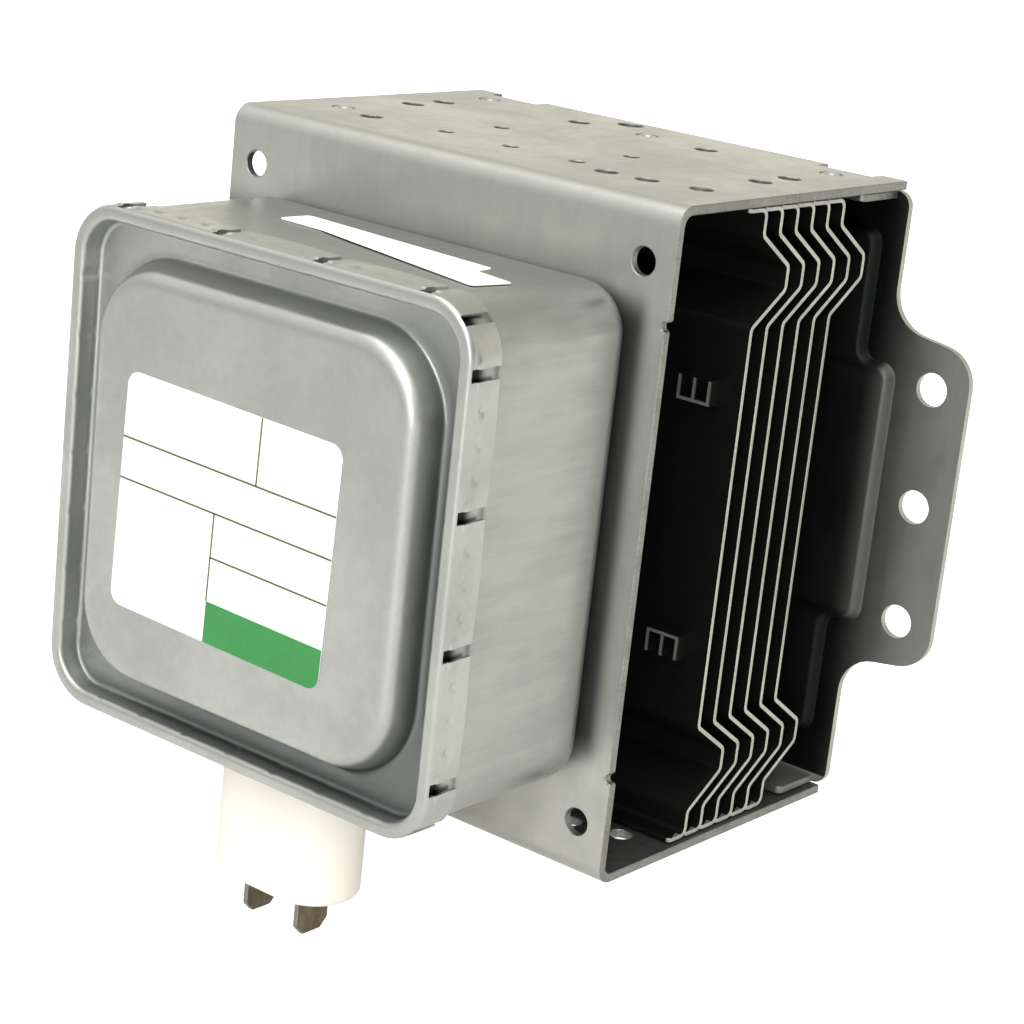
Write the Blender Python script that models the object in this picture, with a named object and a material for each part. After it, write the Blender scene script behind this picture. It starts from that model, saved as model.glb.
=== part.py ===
"""Oven magnetron with its yoke, cooling fins, filter box and terminals, in metres, +Z up.

The tube's axis runs along Y: the filter box is in front, at -Y, and the antenna behind, at +Y.
Everything is drawn from a datum on that axis, where it meets the outer face of the yoke's web,
and an empty then stands the whole part over the middle of its own footprint.
"""

import bpy
import bmesh
from math import atan2, cos, pi, radians, sin, tan
from mathutils import Matrix, Vector

# Clearances and roundness
FIT = 0.0003
CRIMP_FIT = 0.0004
SKIN_FIT = 0.0001
OVERSHOOT = 0.0020
LARGE_ROUND = 24
SMALL_ROUND = 16
HOLE_ROUND = 10
BEND_STEPS = 3

# Yoke: one sheet bent into a U
YOKE_WIDTH = 0.0800
YOKE_HEIGHT = 0.0943
YOKE_SHEET = 0.0013
YOKE_BEND = 0.0028
YOKE_DROP = 0.0009
YOKE_CORNER_HOLE = 0.0038
YOKE_CORNER_HOLE_INSET_X = 0.0050
YOKE_CORNER_HOLE_INSET_Z = 0.0080
YOKE_SLOT_SETBACK = 0.0022
YOKE_SLOT_INSET = 0.0046
YOKE_SLOT_LENGTH = 0.0089
YOKE_MIDDLE_TAB = 0.0007
YOKE_CORNER_TAB = 0.0006
LIP_WIDTH = 0.0026
LIP_BACKSET = 0.0008
LIP_NOTCH = 0.0018
LIP_NOTCH_INSET = 0.01575

# Hole pattern of the two flanges
LARGE_HOLE = 0.0033
SMALL_HOLE = 0.0023
PILOT_HOLE = 0.0040
FRONT_ROW = 0.0127
FRONT_ROW_OUTER_INSET = 0.0150
FRONT_ROW_EDGE_INSET = 0.0075
FRONT_ROW_EDGE_STEP = 0.0021
ODD_HOLE_STEP = 0.0063
SMALL_ROW = 0.0142
SMALL_ROW_STEP = 0.0124
SMALL_COLUMN = 0.0119
EDGE_COLUMN_INSET = 0.0081
EDGE_COLUMN_FIRST = 0.0296
EDGE_COLUMN_STEP = 0.0072
REAR_ROW_FROM_PLATE = 0.0099
REAR_ROW_X = 0.0118
PILOT_X = 0.0074
PILOT_FROM_PLATE = 0.0028

# Mounting plate: the yoke's fourth side, with an ear at each end
PLATE_SHEET = 0.0011
PLATE_OVERHANG = 0.0010
PLATE_CORNER = 0.0022
EMBOSS_HEIGHT = 0.0015
EMBOSS_DRAFT = 0.0004
EMBOSS_SIDE_MARGIN = 0.0040
EMBOSS_END_MARGIN = 0.00865
EMBOSS_EAR_REACH = 0.0014
EMBOSS_EAR_MARGIN = 0.0062
EMBOSS_CORNER = 0.0022
EAR_REACH = 0.0140
EAR_ROOT = 0.0512
EAR_TIP = 0.0470
EAR_TIP_CORNER = 0.0055
EAR_ROOT_FILLET = 0.0060
EAR_HOLE = 0.0050
EAR_HOLE_INSET = 0.0060
EAR_HOLE_PITCH = 0.0176
PLATE_FLANGE_LENGTH = 0.0090
PLATE_FLANGE_INSET = 0.0022
PLATE_TURN_DEPTH = 0.0033
STAKE_PEG = 0.0025
STAKE_INSET = 0.0082
STAKE_FROM_PLATE = 0.0072

# Tube: magnets, anode, pole pieces, cathode and output
FRONT_MAGNET_THICKNESS = 0.0135
REAR_MAGNET_THICKNESS = 0.0117
MAGNET_MARGIN = 0.00245
MAGNET_BORE = 0.0230
MAGNET_CHAMFER = 0.0010
TUBE_LENGTH = 0.0257
ANODE_DIAMETER = 0.0380
ANODE_BORE = 0.0340
POLE_SHEET = 0.0016
POLE_RIM = 0.0100
POLE_MOUTH = 0.0064
POLE_HOLE = 0.0047
POLE_RISE = 0.0042
VANE_COUNT = 10
VANE_HEIGHT = 0.0095
VANE_THICKNESS = 0.0018
VANE_TIP = 0.0048
STRAP_SECTION = 0.0007
STRAP_INNER = 0.0072
STRAP_OUTER = 0.0090
FILAMENT_DIAMETER = 0.0040
FILAMENT_WIRE = 0.0005
FILAMENT_TURNS = 7
END_HAT_DIAMETER = 0.0080
END_HAT_THICKNESS = 0.0014
LEAD_WIRE = 0.0012
SIDE_LEAD_X = 0.0032
SLEEVE_DIAMETER = 0.0195
SLEEVE_SHEET = 0.0006
SLEEVE_FLANGE = 0.0220
CATHODE_SLEEVE_REACH = 0.0030
STEM_CERAMIC_LENGTH = 0.0062
STEM_PIN_LENGTH = 0.0034
OUTPUT_SLEEVE_REACH = 0.0045
CERAMIC_DIAMETER = 0.0140
CERAMIC_BORE = 0.0090
CERAMIC_LENGTH = 0.0092
CAP_DIAMETER = 0.0150
CAP_LENGTH = 0.0112
CAP_SHEET = 0.0005
CAP_ROUND = 0.0030
ANTENNA_LEAD_X = 0.0086
EXHAUST_DIAMETER = 0.0062
EXHAUST_SHEET = 0.0007
GASKET_OUTER = 0.0300
GASKET_THICKNESS = 0.0046

# Cooling fins, pressed over the anode
FIN_COUNT = 6
FIN_PITCH = 0.00385
FIN_SHEET = 0.0006
FIN_SETBACK = 0.0008
FIN_END_MARGIN = 0.00045
FIN_FLANGE = 0.0038
FIN_NECK = 0.0036
FIN_KNEE = 0.0083
FIN_BULGE_END = 0.0116
FIN_FOOT = 0.0164
FIN_BULGE = 0.0071
FIN_BEND = 0.0009
FIN_COLLAR_SHEET = 0.0005
SPACER_INSET = 0.0062
SPACER_Z = 0.0172
SPACER_PITCH = 0.0025
SPACER_HEIGHT = 0.0030
SPACER_SHEET = 0.0006

# Filter box and its crimped cover
BOX_HALF = 0.03485
BOX_SHEET = 0.0005
BOX_CORNER = 0.0068
BOX_BASE_FILLET = 0.0028
BOX_DEPTH = 0.03255
COVER_SHEET = 0.00045
COVER_FOLD = 0.0006
RIM_DEPTH = 0.0035
SKIRT_DEPTH = 0.0058
PLATFORM_RISE = 0.0049
PLATFORM_MARGIN = 0.00495
PLATFORM_DRAFT = 0.0014
PLATFORM_ROUND = 0.0014
PLATFORM_SHOULDER = 0.0037
PLATFORM_CORNER = 0.0115
SLOT_WIDTH = 0.0017
SLOT_COUNT = 4
SIDE_SLOT_INSET = 0.00785
TOP_SLOT_INSET = 0.0068
TOP_SLOT_SHIFT = -0.0011
LABEL_SHEET = 0.00012
LABEL_WIDTH = 0.0393
LABEL_HEIGHT = 0.0330
LABEL_CORNER = 0.0020
LABEL_X = -0.0021
LABEL_Z = -0.0020
LABEL_TURN = radians(1.5)
BOX_LABEL_CORNER = 0.0008
BOX_LABEL_POINTS = ((-0.0165, -0.0140), (-0.0160, -0.0083), (0.0190, -0.0107), (0.0194, -0.0145),
                    (0.0267, -0.0158), (0.0252, -0.0223), (-0.0086, -0.0145))

# Terminals, connector and chokes
BLADE_WIDTH = 0.0063
BLADE_SHEET = 0.0008
BLADE_PITCH = 0.0098
BLADE_CHAMFER = 0.0014
BLADE_REACH = 0.0063
CONNECTOR_FROM_RIM = 0.01412
HOUSING_LENGTH = 0.0228
HOUSING_WIDTH = 0.0140
HOUSING_HEIGHT = 0.0208
HOUSING_ROUND = 0.0012
BLADE_TAIL = 0.0030
CONNECTOR_FLANGE_LENGTH = 0.0290
CONNECTOR_FLANGE_WIDTH = 0.0190
CONNECTOR_FLANGE_SHEET = 0.0010
CORE_LENGTH = 0.0180
CORE_WIDTH = 0.0100
CORE_HEIGHT = 0.0090
CHOKE_X = 0.0130
CHOKE_FROM_RIM = 0.01335
CHOKE_BOTTOM = -0.0120
CHOKE_TURNS = 7
CHOKE_PITCH = 0.0032
CHOKE_WIRE = 0.0014
CHOKE_CORE = 0.0060
CHOKE_CORE_OVERHANG = 0.0015

# Finishes: colour, metallic value and roughness
FINISHES = {
    "zinc_plated_steel": ((0.52, 0.53, 0.52), 0.9, 0.38),
    "drawn_steel": ((0.50, 0.51, 0.49), 0.9, 0.34),
    "aluminium_fin": ((0.66, 0.65, 0.62), 0.9, 0.40),
    "ferrite": ((0.045, 0.045, 0.05), 0.0, 0.75),
    "copper": ((0.80, 0.42, 0.28), 1.0, 0.30),
    "tinned_brass": ((0.33, 0.29, 0.24), 0.9, 0.42),
    "white_moulding": ((0.90, 0.88, 0.84), 0.0, 0.45),
    "alumina": ((0.88, 0.80, 0.78), 0.0, 0.55),
    "tungsten": ((0.30, 0.30, 0.31), 1.0, 0.45),
    "paper_label": ((0.93, 0.92, 0.88), 0.0, 0.60),
    "wire_mesh": ((0.55, 0.54, 0.52), 0.9, 0.50),
}

# Widths across the yoke, worked out from the sizes above
PLATE_WIDTH = YOKE_WIDTH + 2 * PLATE_OVERHANG
EAR_SPAN = PLATE_WIDTH + 2 * EAR_REACH
FIN_WIDTH = YOKE_WIDTH - 2 * FIN_SETBACK
STAKE_X = YOKE_WIDTH / 2 - STAKE_INSET
PLATFORM_FOOT = BOX_HALF - PLATFORM_MARGIN
LIP_NOTCH_HEIGHT = YOKE_HEIGHT - 2 * LIP_NOTCH_INSET

# Stack along the tube, worked out from the sizes above
FRONT_MAGNET_Y = YOKE_SHEET + FIT
TUBE_FRONT = FRONT_MAGNET_Y + FRONT_MAGNET_THICKNESS + FIT
TUBE_REAR = TUBE_FRONT + TUBE_LENGTH
TUBE_MIDDLE = (TUBE_FRONT + TUBE_REAR) / 2
REAR_MAGNET_Y = TUBE_REAR + FIT
RAISED_FACE = REAR_MAGNET_Y + REAR_MAGNET_THICKNESS + FIT
PLATE_FACE = RAISED_FACE + EMBOSS_HEIGHT
PLATE_BACK = PLATE_FACE + PLATE_SHEET
FLANGE_INSIDE = YOKE_HEIGHT / 2 - YOKE_SHEET
MAGNET_DIAMETER = 2 * (FLANGE_INSIDE - FIN_FOOT - MAGNET_MARGIN)
BOX_FACE = -FIT
BOX_RIM = BOX_FACE - BOX_DEPTH
CONNECTOR_Y = BOX_RIM + CONNECTOR_FROM_RIM
CHOKE_Y = BOX_RIM + CHOKE_FROM_RIM
COVER_FRONT = BOX_RIM - CRIMP_FIT - COVER_SHEET
PLATFORM_FACE = COVER_FRONT + RIM_DEPTH - PLATFORM_RISE
COVER_HALF = BOX_HALF + CRIMP_FIT + COVER_SHEET
HOUSING_TOP = -BOX_HALF - FIT
HOUSING_BOTTOM = HOUSING_TOP - HOUSING_HEIGHT
BLADE_TIP = HOUSING_BOTTOM - BLADE_REACH
OUTPUT_SLEEVE_END = PLATE_BACK + OUTPUT_SLEEVE_REACH
CERAMIC_FRONT = OUTPUT_SLEEVE_END + FIT
CAP_FRONT = CERAMIC_FRONT + CERAMIC_LENGTH + FIT
CAP_END = CAP_FRONT + CAP_LENGTH


def clear_scene():
    """Remove every object that is already in the file."""
    for leftover in list(bpy.data.objects):
        bpy.data.objects.remove(leftover, do_unlink=True)


def finish_material(finish):
    """Return the Principled material for one of the named finishes, made once."""
    found = bpy.data.materials.get(finish)
    if found:
        return found
    colour, metallic, roughness = FINISHES[finish]
    made = bpy.data.materials.new(finish)
    made.use_nodes = True
    shader = made.node_tree.nodes["Principled BSDF"]
    shader.inputs["Base Color"].default_value = (*colour, 1.0)
    shader.inputs["Metallic"].default_value = metallic
    shader.inputs["Roughness"].default_value = roughness
    return made


def stand_on_datum():
    """Add the empty that carries the part, over the middle of its footprint."""
    datum = bpy.data.objects.new("tube_datum", None)
    datum.location = (0.0, -(PLATFORM_FACE + CAP_END) / 2, -BLADE_TIP)
    bpy.context.collection.objects.link(datum)
    return datum


def add_object(name, mesh, finish=None):
    """Link a mesh or curve under the datum; without a finish it is a hidden cutting tool."""
    added = bpy.data.objects.new(name, mesh)
    bpy.context.collection.objects.link(added)
    added.parent = bpy.data.objects["tube_datum"]
    if finish:
        mesh.materials.append(finish_material(finish))
    else:
        added.hide_render = True
        added.display_type = "WIRE"
    return added


def mesh_from(name, body, smooth_angle=radians(35)):
    """Turn a bmesh into a mesh with its faces pointing out and its round sides smooth."""
    bmesh.ops.recalc_face_normals(body, faces=body.faces)
    mesh = bpy.data.meshes.new(name)
    body.to_mesh(mesh)
    body.free()
    mesh.shade_smooth()
    mesh.set_sharp_from_angle(angle=smooth_angle)
    return mesh


def rounded_corner(before, corner, after, radius, steps):
    """Points of the arc that rounds a corner, tangent to the sides on either hand."""
    back = (before - corner).normalized()
    ahead = (after - corner).normalized()
    half_angle = back.angle(ahead) / 2
    centre = corner + (back + ahead).normalized() * (radius / sin(half_angle))
    start = corner + back * (radius / tan(half_angle)) - centre
    end = corner + ahead * (radius / tan(half_angle)) - centre
    sweep = atan2(start.x * end.y - start.y * end.x, start.dot(end))
    return [centre + Matrix.Rotation(sweep * step / steps, 2) @ start for step in range(steps + 1)]


def rounded_outline(corners, steps=BEND_STEPS):
    """Closed outline through (u, v, radius) corners, each rounded by its own radius."""
    points = [Vector(corner[:2]) for corner in corners]
    outline = []
    for index, corner in enumerate(corners):
        before = points[index - 1]
        after = points[(index + 1) % len(points)]
        if corner[2] > 0:
            outline += rounded_corner(before, points[index], after, corner[2], steps)
        else:
            outline.append(points[index])
    return outline


def bent_path(path, radius, steps=BEND_STEPS):
    """Open middle line of a bent sheet, as (point, unit normal to its left) pairs."""
    points = [Vector(point) for point in path]
    line = []
    for index, point in enumerate(points):
        if index in (0, len(points) - 1):
            run = points[1] - points[0] if index == 0 else points[-1] - points[-2]
            line.append((point, Vector((-run.y, run.x)).normalized()))
            continue
        before, after = points[index - 1], points[index + 1]
        arc = rounded_corner(before, point, after, radius, steps)
        first = (point - before).normalized()
        last = (after - point).normalized()
        turn = atan2(first.x * last.y - first.y * last.x, first.dot(last))
        normal = Vector((-first.y, first.x))
        for step, place in enumerate(arc):
            line.append((place, Matrix.Rotation(turn * step / steps, 2) @ normal))
    return line


def bent_strip(path, radius, thickness, steps=BEND_STEPS):
    """Closed outline of a sheet of even thickness whose middle follows a bent path."""
    line = bent_path(path, radius, steps)
    left = [point + normal * thickness / 2 for point, normal in line]
    right = [point - normal * thickness / 2 for point, normal in line]
    return left + right[::-1]


def circle(u, v, radius, steps):
    """Outline of a circle about (u, v)."""
    turns = [2 * pi * step / steps for step in range(steps)]
    return [Vector((u + radius * cos(turn), v + radius * sin(turn))) for turn in turns]


def obround(length, width, u=0.0, v=0.0, steps=8):
    """Outline with straight long sides and half-round ends, about (u, v)."""
    reach = (length - width) / 2
    outline = []
    for side in (1, -1):
        for step in range(steps + 1):
            turn = -side * pi / 2 + pi * step / steps
            outline.append(Vector((u + side * reach + width / 2 * cos(turn),
                                   v + width / 2 * sin(turn))))
    return outline


def place(point, depth, axis):
    """Put a flat outline's point at a depth along an axis: X takes (y, z), Y (x, z), Z (x, y)."""
    u, v = point
    return {"X": (depth, u, v), "Y": (u, depth, v), "Z": (u, v, depth)}[axis]


def add_prism(body, outline, start, end, axis):
    """Extrude a closed outline from one depth to another into the bmesh."""
    near = [body.verts.new(place(point, start, axis)) for point in outline]
    base = body.faces.new(near)
    grown = bmesh.ops.extrude_face_region(body, geom=[base])["geom"]
    far = [item for item in grown if isinstance(item, bmesh.types.BMVert)]
    shift = Vector(place((0.0, 0.0), end - start, axis))
    bmesh.ops.translate(body, verts=far, vec=shift)


def prism(name, outline, start, end, axis, finish=None):
    """One extruded solid, or a cutting tool when it has no finish."""
    body = bmesh.new()
    add_prism(body, outline, start, end, axis)
    return add_object(name, mesh_from(name, body), finish)


def add_box(body, low, high):
    """Add a box between two opposite corners to the bmesh."""
    corners = [(low[0], low[1]), (high[0], low[1]), (high[0], high[1]), (low[0], high[1])]
    add_prism(body, [Vector(corner) for corner in corners], low[2], high[2], "Z")


def turned(name, profile, finish, steps=SMALL_ROUND, centre=(0.0, 0.0)):
    """Spin a closed (radius, y) profile about the tube's axis, or one beside it at (x, z)."""
    body = bmesh.new()
    rim = [body.verts.new((centre[0] + radius, y, centre[1])) for radius, y in profile]
    edges = [body.edges.new((rim[index - 1], rim[index])) for index in range(len(rim))]
    bmesh.ops.spin(body, geom=rim + edges, cent=(centre[0], 0.0, centre[1]), axis=(0.0, 1.0, 0.0),
                   dvec=(0.0, 0.0, 0.0), angle=2 * pi, steps=steps, use_duplicate=False)
    bmesh.ops.remove_doubles(body, verts=body.verts, dist=0.000001)
    bmesh.ops.dissolve_degenerate(body, edges=body.edges, dist=0.000001)
    return add_object(name, mesh_from(name, body), finish)


def lofted(name, rings, finish=None):
    """Skin a row of rings with the same number of points, and close both ends."""
    body = bmesh.new()
    rows = [[body.verts.new(point) for point in ring] for ring in rings]
    for lower, upper in zip(rows, rows[1:]):
        for index in range(len(lower)):
            body.faces.new((lower[index - 1], lower[index], upper[index], upper[index - 1]))
    body.faces.new(rows[0])
    body.faces.new(rows[-1])
    return add_object(name, mesh_from(name, body), finish)


def wire(name, points, diameter, finish):
    """A round wire along a row of points, as a bevelled curve with closed ends."""
    curve = bpy.data.curves.new(name, "CURVE")
    curve.dimensions = "3D"
    curve.bevel_depth = diameter / 2
    curve.bevel_resolution = 0
    curve.use_fill_caps = True
    spline = curve.splines.new("POLY")
    spline.points.add(len(points) - 1)
    for slot, point in zip(spline.points, points):
        slot.co = (*point, 1.0)
    return add_object(name, curve, finish)


def combine(target, tool, operation):
    """Cut the target with a tool, or join the tool to it; holes in one tool may run together."""
    step = target.modifiers.new(f"{operation.lower()}_{tool.name}", "BOOLEAN")
    step.operation = operation
    step.solver = "EXACT"
    step.use_self = True
    step.object = tool


def drill(target, name, holes, start, end, axis, steps=HOLE_ROUND):
    """Cut a pattern of (u, v, diameter) holes between two depths."""
    body = bmesh.new()
    for u, v, diameter in holes:
        add_prism(body, circle(u, v, diameter / 2, steps), start, end, axis)
    combine(target, add_object(name, mesh_from(name, body)), "DIFFERENCE")


def flange_holes():
    """Holes of a yoke flange, as (x, y, diameter), the same above and below."""
    rear_row = PLATE_FACE - REAR_ROW_FROM_PLATE
    front_outer = YOKE_WIDTH / 2 - FRONT_ROW_OUTER_INSET
    front_edge = YOKE_WIDTH / 2 - FRONT_ROW_EDGE_INSET
    edge_column = YOKE_WIDTH / 2 - EDGE_COLUMN_INSET
    odd_row = FRONT_ROW - (SMALL_ROW - FRONT_ROW) / 2
    holes = [(front_outer - ODD_HOLE_STEP, odd_row, LARGE_HOLE)]
    holes.append((-PILOT_X, PLATE_FACE - PILOT_FROM_PLATE, PILOT_HOLE))
    holes.append((0.0, SMALL_ROW, SMALL_HOLE))
    holes.append((0.0, PLATE_FACE - STAKE_FROM_PLATE - YOKE_SHEET, LARGE_HOLE))
    for side in (-1, 1):
        holes.append((side * front_outer, FRONT_ROW, LARGE_HOLE))
        holes.append((side * front_edge, FRONT_ROW + FRONT_ROW_EDGE_STEP, LARGE_HOLE))
        holes.append((side * REAR_ROW_X, rear_row, LARGE_HOLE))
        holes.append((side * STAKE_X, PLATE_FACE - STAKE_FROM_PLATE, LARGE_HOLE))
        for row in range(2):
            holes.append((side * SMALL_COLUMN, SMALL_ROW + row * SMALL_ROW_STEP, SMALL_HOLE))
            along = EDGE_COLUMN_FIRST + row * EDGE_COLUMN_STEP
            holes.append((side * edge_column, along, LARGE_HOLE))
    return holes


def make_yoke():
    """The U of sheet steel: web in front, a flange above and below, open at both sides."""
    middle = YOKE_HEIGHT / 2 - YOKE_SHEET / 2
    web = YOKE_SHEET / 2
    reach = PLATE_FACE + YOKE_CORNER_TAB
    path = [(reach, middle), (web, middle), (web, -middle), (reach, -middle)]
    lowered = [(y, z - YOKE_DROP) for y, z in path]
    outline = bent_strip(lowered, YOKE_BEND - YOKE_SHEET / 2, YOKE_SHEET, BEND_STEPS + 1)
    yoke = prism("yoke", outline, -YOKE_WIDTH / 2, YOKE_WIDTH / 2, "X", "zinc_plated_steel")

    reach_z = YOKE_HEIGHT / 2 + OVERSHOOT
    body = bmesh.new()
    slot_edge = PLATE_FACE - YOKE_SLOT_SETBACK
    slot_to = YOKE_WIDTH / 2 - YOKE_SLOT_INSET
    slot_from = slot_to - YOKE_SLOT_LENGTH
    beyond = reach + OVERSHOOT
    low_z, high_z = -reach_z - YOKE_DROP, reach_z - YOKE_DROP
    steps = [(-slot_to, slot_edge), (-slot_from, slot_edge),
             (-slot_from, PLATE_FACE + YOKE_MIDDLE_TAB), (slot_from, PLATE_FACE + YOKE_MIDDLE_TAB),
             (slot_from, slot_edge), (slot_to, slot_edge), (slot_to, beyond), (-slot_to, beyond)]
    add_prism(body, [Vector(point) for point in steps], low_z, high_z, "Z")
    lip_side = YOKE_WIDTH / 2 - LIP_WIDTH
    notch = LIP_NOTCH_HEIGHT / 2 + LIP_NOTCH / 2
    for side in (-1, 1):
        edges = sorted((side * lip_side, side * (YOKE_WIDTH / 2 + OVERSHOOT)))
        add_box(body, (edges[0], -OVERSHOOT, -notch - YOKE_DROP),
                (edges[1], YOKE_SHEET + OVERSHOOT, notch - YOKE_DROP))
    combine(yoke, add_object("yoke_trimming", mesh_from("yoke_trimming", body)), "DIFFERENCE")
    drill(yoke, "flange_punches", flange_holes(), low_z, high_z, "Z")

    corner_x = YOKE_WIDTH / 2 - YOKE_CORNER_HOLE_INSET_X
    corner_z = YOKE_HEIGHT / 2 - YOKE_CORNER_HOLE_INSET_Z
    web_holes = [(x, z - YOKE_DROP, YOKE_CORNER_HOLE)
                 for x in (-corner_x, corner_x) for z in (-corner_z, corner_z)]
    drill(yoke, "web_punches", web_holes, -OVERSHOOT, YOKE_SHEET + OVERSHOOT, "Y", SMALL_ROUND)
    drill_round(yoke, "web_bore", MAGNET_BORE, -OVERSHOOT, YOKE_SHEET + OVERSHOOT)

    lips = bmesh.new()
    height = LIP_NOTCH_HEIGHT / 2 - LIP_NOTCH / 2
    for side in (-1, 1):
        start, knee, edge = (side * (lip_side - YOKE_SHEET / 2), side * (lip_side + LIP_WIDTH / 4),
                             side * YOKE_WIDTH / 2)
        jog = [(start, 0.0), (knee, 0.0), (edge, LIP_BACKSET), (edge, LIP_BACKSET + YOKE_SHEET),
               (knee, YOKE_SHEET), (start, YOKE_SHEET)]
        outline = [Vector(point) for point in jog]
        add_prism(lips, outline, -height - YOKE_DROP, height - YOKE_DROP, "Z")
    combine(yoke, add_object("yoke_lips", mesh_from("yoke_lips", lips)), "UNION")
    return yoke


def drill_round(target, name, diameter, start, end):
    """Bore a large round hole on the tube's axis."""
    tool = prism(name, circle(0.0, 0.0, diameter / 2, LARGE_ROUND), start, end, "Y")
    combine(target, tool, "DIFFERENCE")


def cross_outline(inset):
    """Outline of the plate's raised cross, drawn in by an inset."""
    arm_x = PLATE_WIDTH / 2 + EMBOSS_EAR_REACH - inset
    arm_z = EAR_ROOT / 2 - EMBOSS_EAR_MARGIN - inset
    trunk_x = PLATE_WIDTH / 2 - EMBOSS_SIDE_MARGIN - inset
    trunk_z = YOKE_HEIGHT / 2 - EMBOSS_END_MARGIN - inset
    upper = [(arm_x, arm_z), (trunk_x, arm_z), (trunk_x, trunk_z),
             (-trunk_x, trunk_z), (-trunk_x, arm_z), (-arm_x, arm_z)]
    lower = [(-x, -z) for x, z in upper]
    return rounded_outline([(x, z, EMBOSS_CORNER) for x, z in upper + lower])


def embossed_block(name, inset, front, back):
    """A tapered block with the cross's outline, narrower in front than behind."""
    rings = [[place(point, front, "Y") for point in cross_outline(inset + EMBOSS_DRAFT)],
             [place(point, back, "Y") for point in cross_outline(inset)]]
    return lofted(name, rings)


def plate_outline():
    """Outline of the mounting plate: a tall sheet with an ear on each side."""
    half = PLATE_WIDTH / 2
    top = FLANGE_INSIDE - FIT - YOKE_DROP
    bottom = -FLANGE_INSIDE + FIT - YOKE_DROP
    ear = [(half, top, PLATE_CORNER), (half, EAR_ROOT / 2, EAR_ROOT_FILLET),
           (EAR_SPAN / 2, EAR_TIP / 2, EAR_TIP_CORNER), (EAR_SPAN / 2, -EAR_TIP / 2, EAR_TIP_CORNER),
           (half, -EAR_ROOT / 2, EAR_ROOT_FILLET), (half, bottom, PLATE_CORNER)]
    return rounded_outline(ear + [(-x, z, radius) for x, z, radius in ear[::-1]], BEND_STEPS + 2)


def make_mounting_plate():
    """The plate that closes the yoke, raised in the middle, with flanges under the yoke's own."""
    plate = prism("mounting_plate", plate_outline(), PLATE_FACE, PLATE_BACK, "Y",
                  "zinc_plated_steel")
    inside = PLATE_FACE + PLATE_SHEET / 3
    combine(plate, embossed_block("emboss_outside", 0.0, RAISED_FACE, inside), "UNION")

    joined = bmesh.new()
    flange_z = FLANGE_INSIDE - FIT - PLATE_SHEET / 2
    middle = PLATE_FACE + PLATE_SHEET / 2
    start = PLATE_FACE - PLATE_FLANGE_LENGTH
    root = flange_z - PLATE_TURN_DEPTH
    half_width = PLATE_WIDTH / 2 - PLATE_FLANGE_INSET
    for side in (-1, 1):
        path = [(start, side * flange_z - YOKE_DROP), (middle, side * flange_z - YOKE_DROP),
                (middle, side * root - YOKE_DROP)]
        strip = bent_strip(path, PLATE_SHEET, PLATE_SHEET - SKIN_FIT)
        add_prism(joined, strip, -half_width, half_width, "X")
    combine(plate, add_object("plate_flanges", mesh_from("plate_flanges", joined)), "UNION")

    pegs = bmesh.new()
    peg_y = PLATE_FACE - STAKE_FROM_PLATE
    for x, y in ((-STAKE_X, peg_y), (0.0, peg_y - YOKE_SHEET), (STAKE_X, peg_y)):
        for side in (-1, 1):
            ends = sorted((side * flange_z, side * (YOKE_HEIGHT / 2 - SKIN_FIT)))
            add_prism(pegs, circle(x, y, STAKE_PEG / 2, HOLE_ROUND),
                      ends[0] - YOKE_DROP, ends[1] - YOKE_DROP, "Z")
    combine(plate, add_object("plate_pegs", mesh_from("plate_pegs", pegs)), "UNION")

    hollow = embossed_block("emboss_inside", PLATE_SHEET / 2, RAISED_FACE + PLATE_SHEET,
                            PLATE_BACK + OVERSHOOT)
    combine(plate, hollow, "DIFFERENCE")
    ear_x = EAR_SPAN / 2 - EAR_HOLE_INSET
    holes = [(side * ear_x, row * EAR_HOLE_PITCH, EAR_HOLE)
             for side in (-1, 1) for row in (-1, 0, 1)]
    drill(plate, "ear_punches", holes, PLATE_FACE - OVERSHOOT, PLATE_BACK + OVERSHOOT, "Y",
          SMALL_ROUND)
    drill_round(plate, "plate_bore", SLEEVE_DIAMETER + 2 * FIT, RAISED_FACE - OVERSHOOT,
                PLATE_BACK + OVERSHOOT)
    return plate


def fin_path(main_y):
    """Middle line of one fin, from its upper flange to its lower one."""
    top = FLANGE_INSIDE - FIT - FIN_SHEET / 2
    upper = [(main_y - FIN_FLANGE, top), (main_y, top), (main_y, top - FIN_NECK),
             (main_y + FIN_BULGE, top - FIN_KNEE), (main_y + FIN_BULGE, top - FIN_BULGE_END),
             (main_y, top - FIN_FOOT)]
    lower = [(y, -z) for y, z in upper[::-1]]
    return [(y, z - YOKE_DROP) for y, z in upper + lower]


def make_cooling_fins():
    """Zigzag fins pressed over the anode, held apart by collars and lanced spacers."""
    bore = ANODE_DIAMETER / 2 + FIT
    last = TUBE_REAR - FIN_END_MARGIN - FIN_SHEET / 2
    collar_length = FIN_PITCH - FIN_SHEET - FIT
    for index in range(FIN_COUNT):
        main_y = last - (FIN_COUNT - 1 - index) * FIN_PITCH
        name = f"cooling_fin_{index + 1}"
        strip = bent_strip(fin_path(main_y), FIN_BEND, FIN_SHEET, 2)
        fin = prism(name, strip, -FIN_WIDTH / 2, FIN_WIDTH / 2, "X", "aluminium_fin")
        added = bmesh.new()
        collar = circle(0.0, 0.0, bore + FIN_COLLAR_SHEET, LARGE_ROUND)
        add_prism(added, collar, main_y - collar_length, main_y, "Y")
        front = main_y - collar_length
        for flip in (1, -1):
            add_prism(added, comb_outline(flip), front, main_y, "Y")
        combine(fin, add_object(f"fin_raising_{index + 1}",
                                mesh_from(f"fin_raising_{index + 1}", added)), "UNION")
        tool = prism(f"fin_bore_{index + 1}", circle(0.0, 0.0, bore, LARGE_ROUND),
                     front - OVERSHOOT, main_y + OVERSHOOT, "Y")
        combine(fin, tool, "DIFFERENCE")


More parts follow.
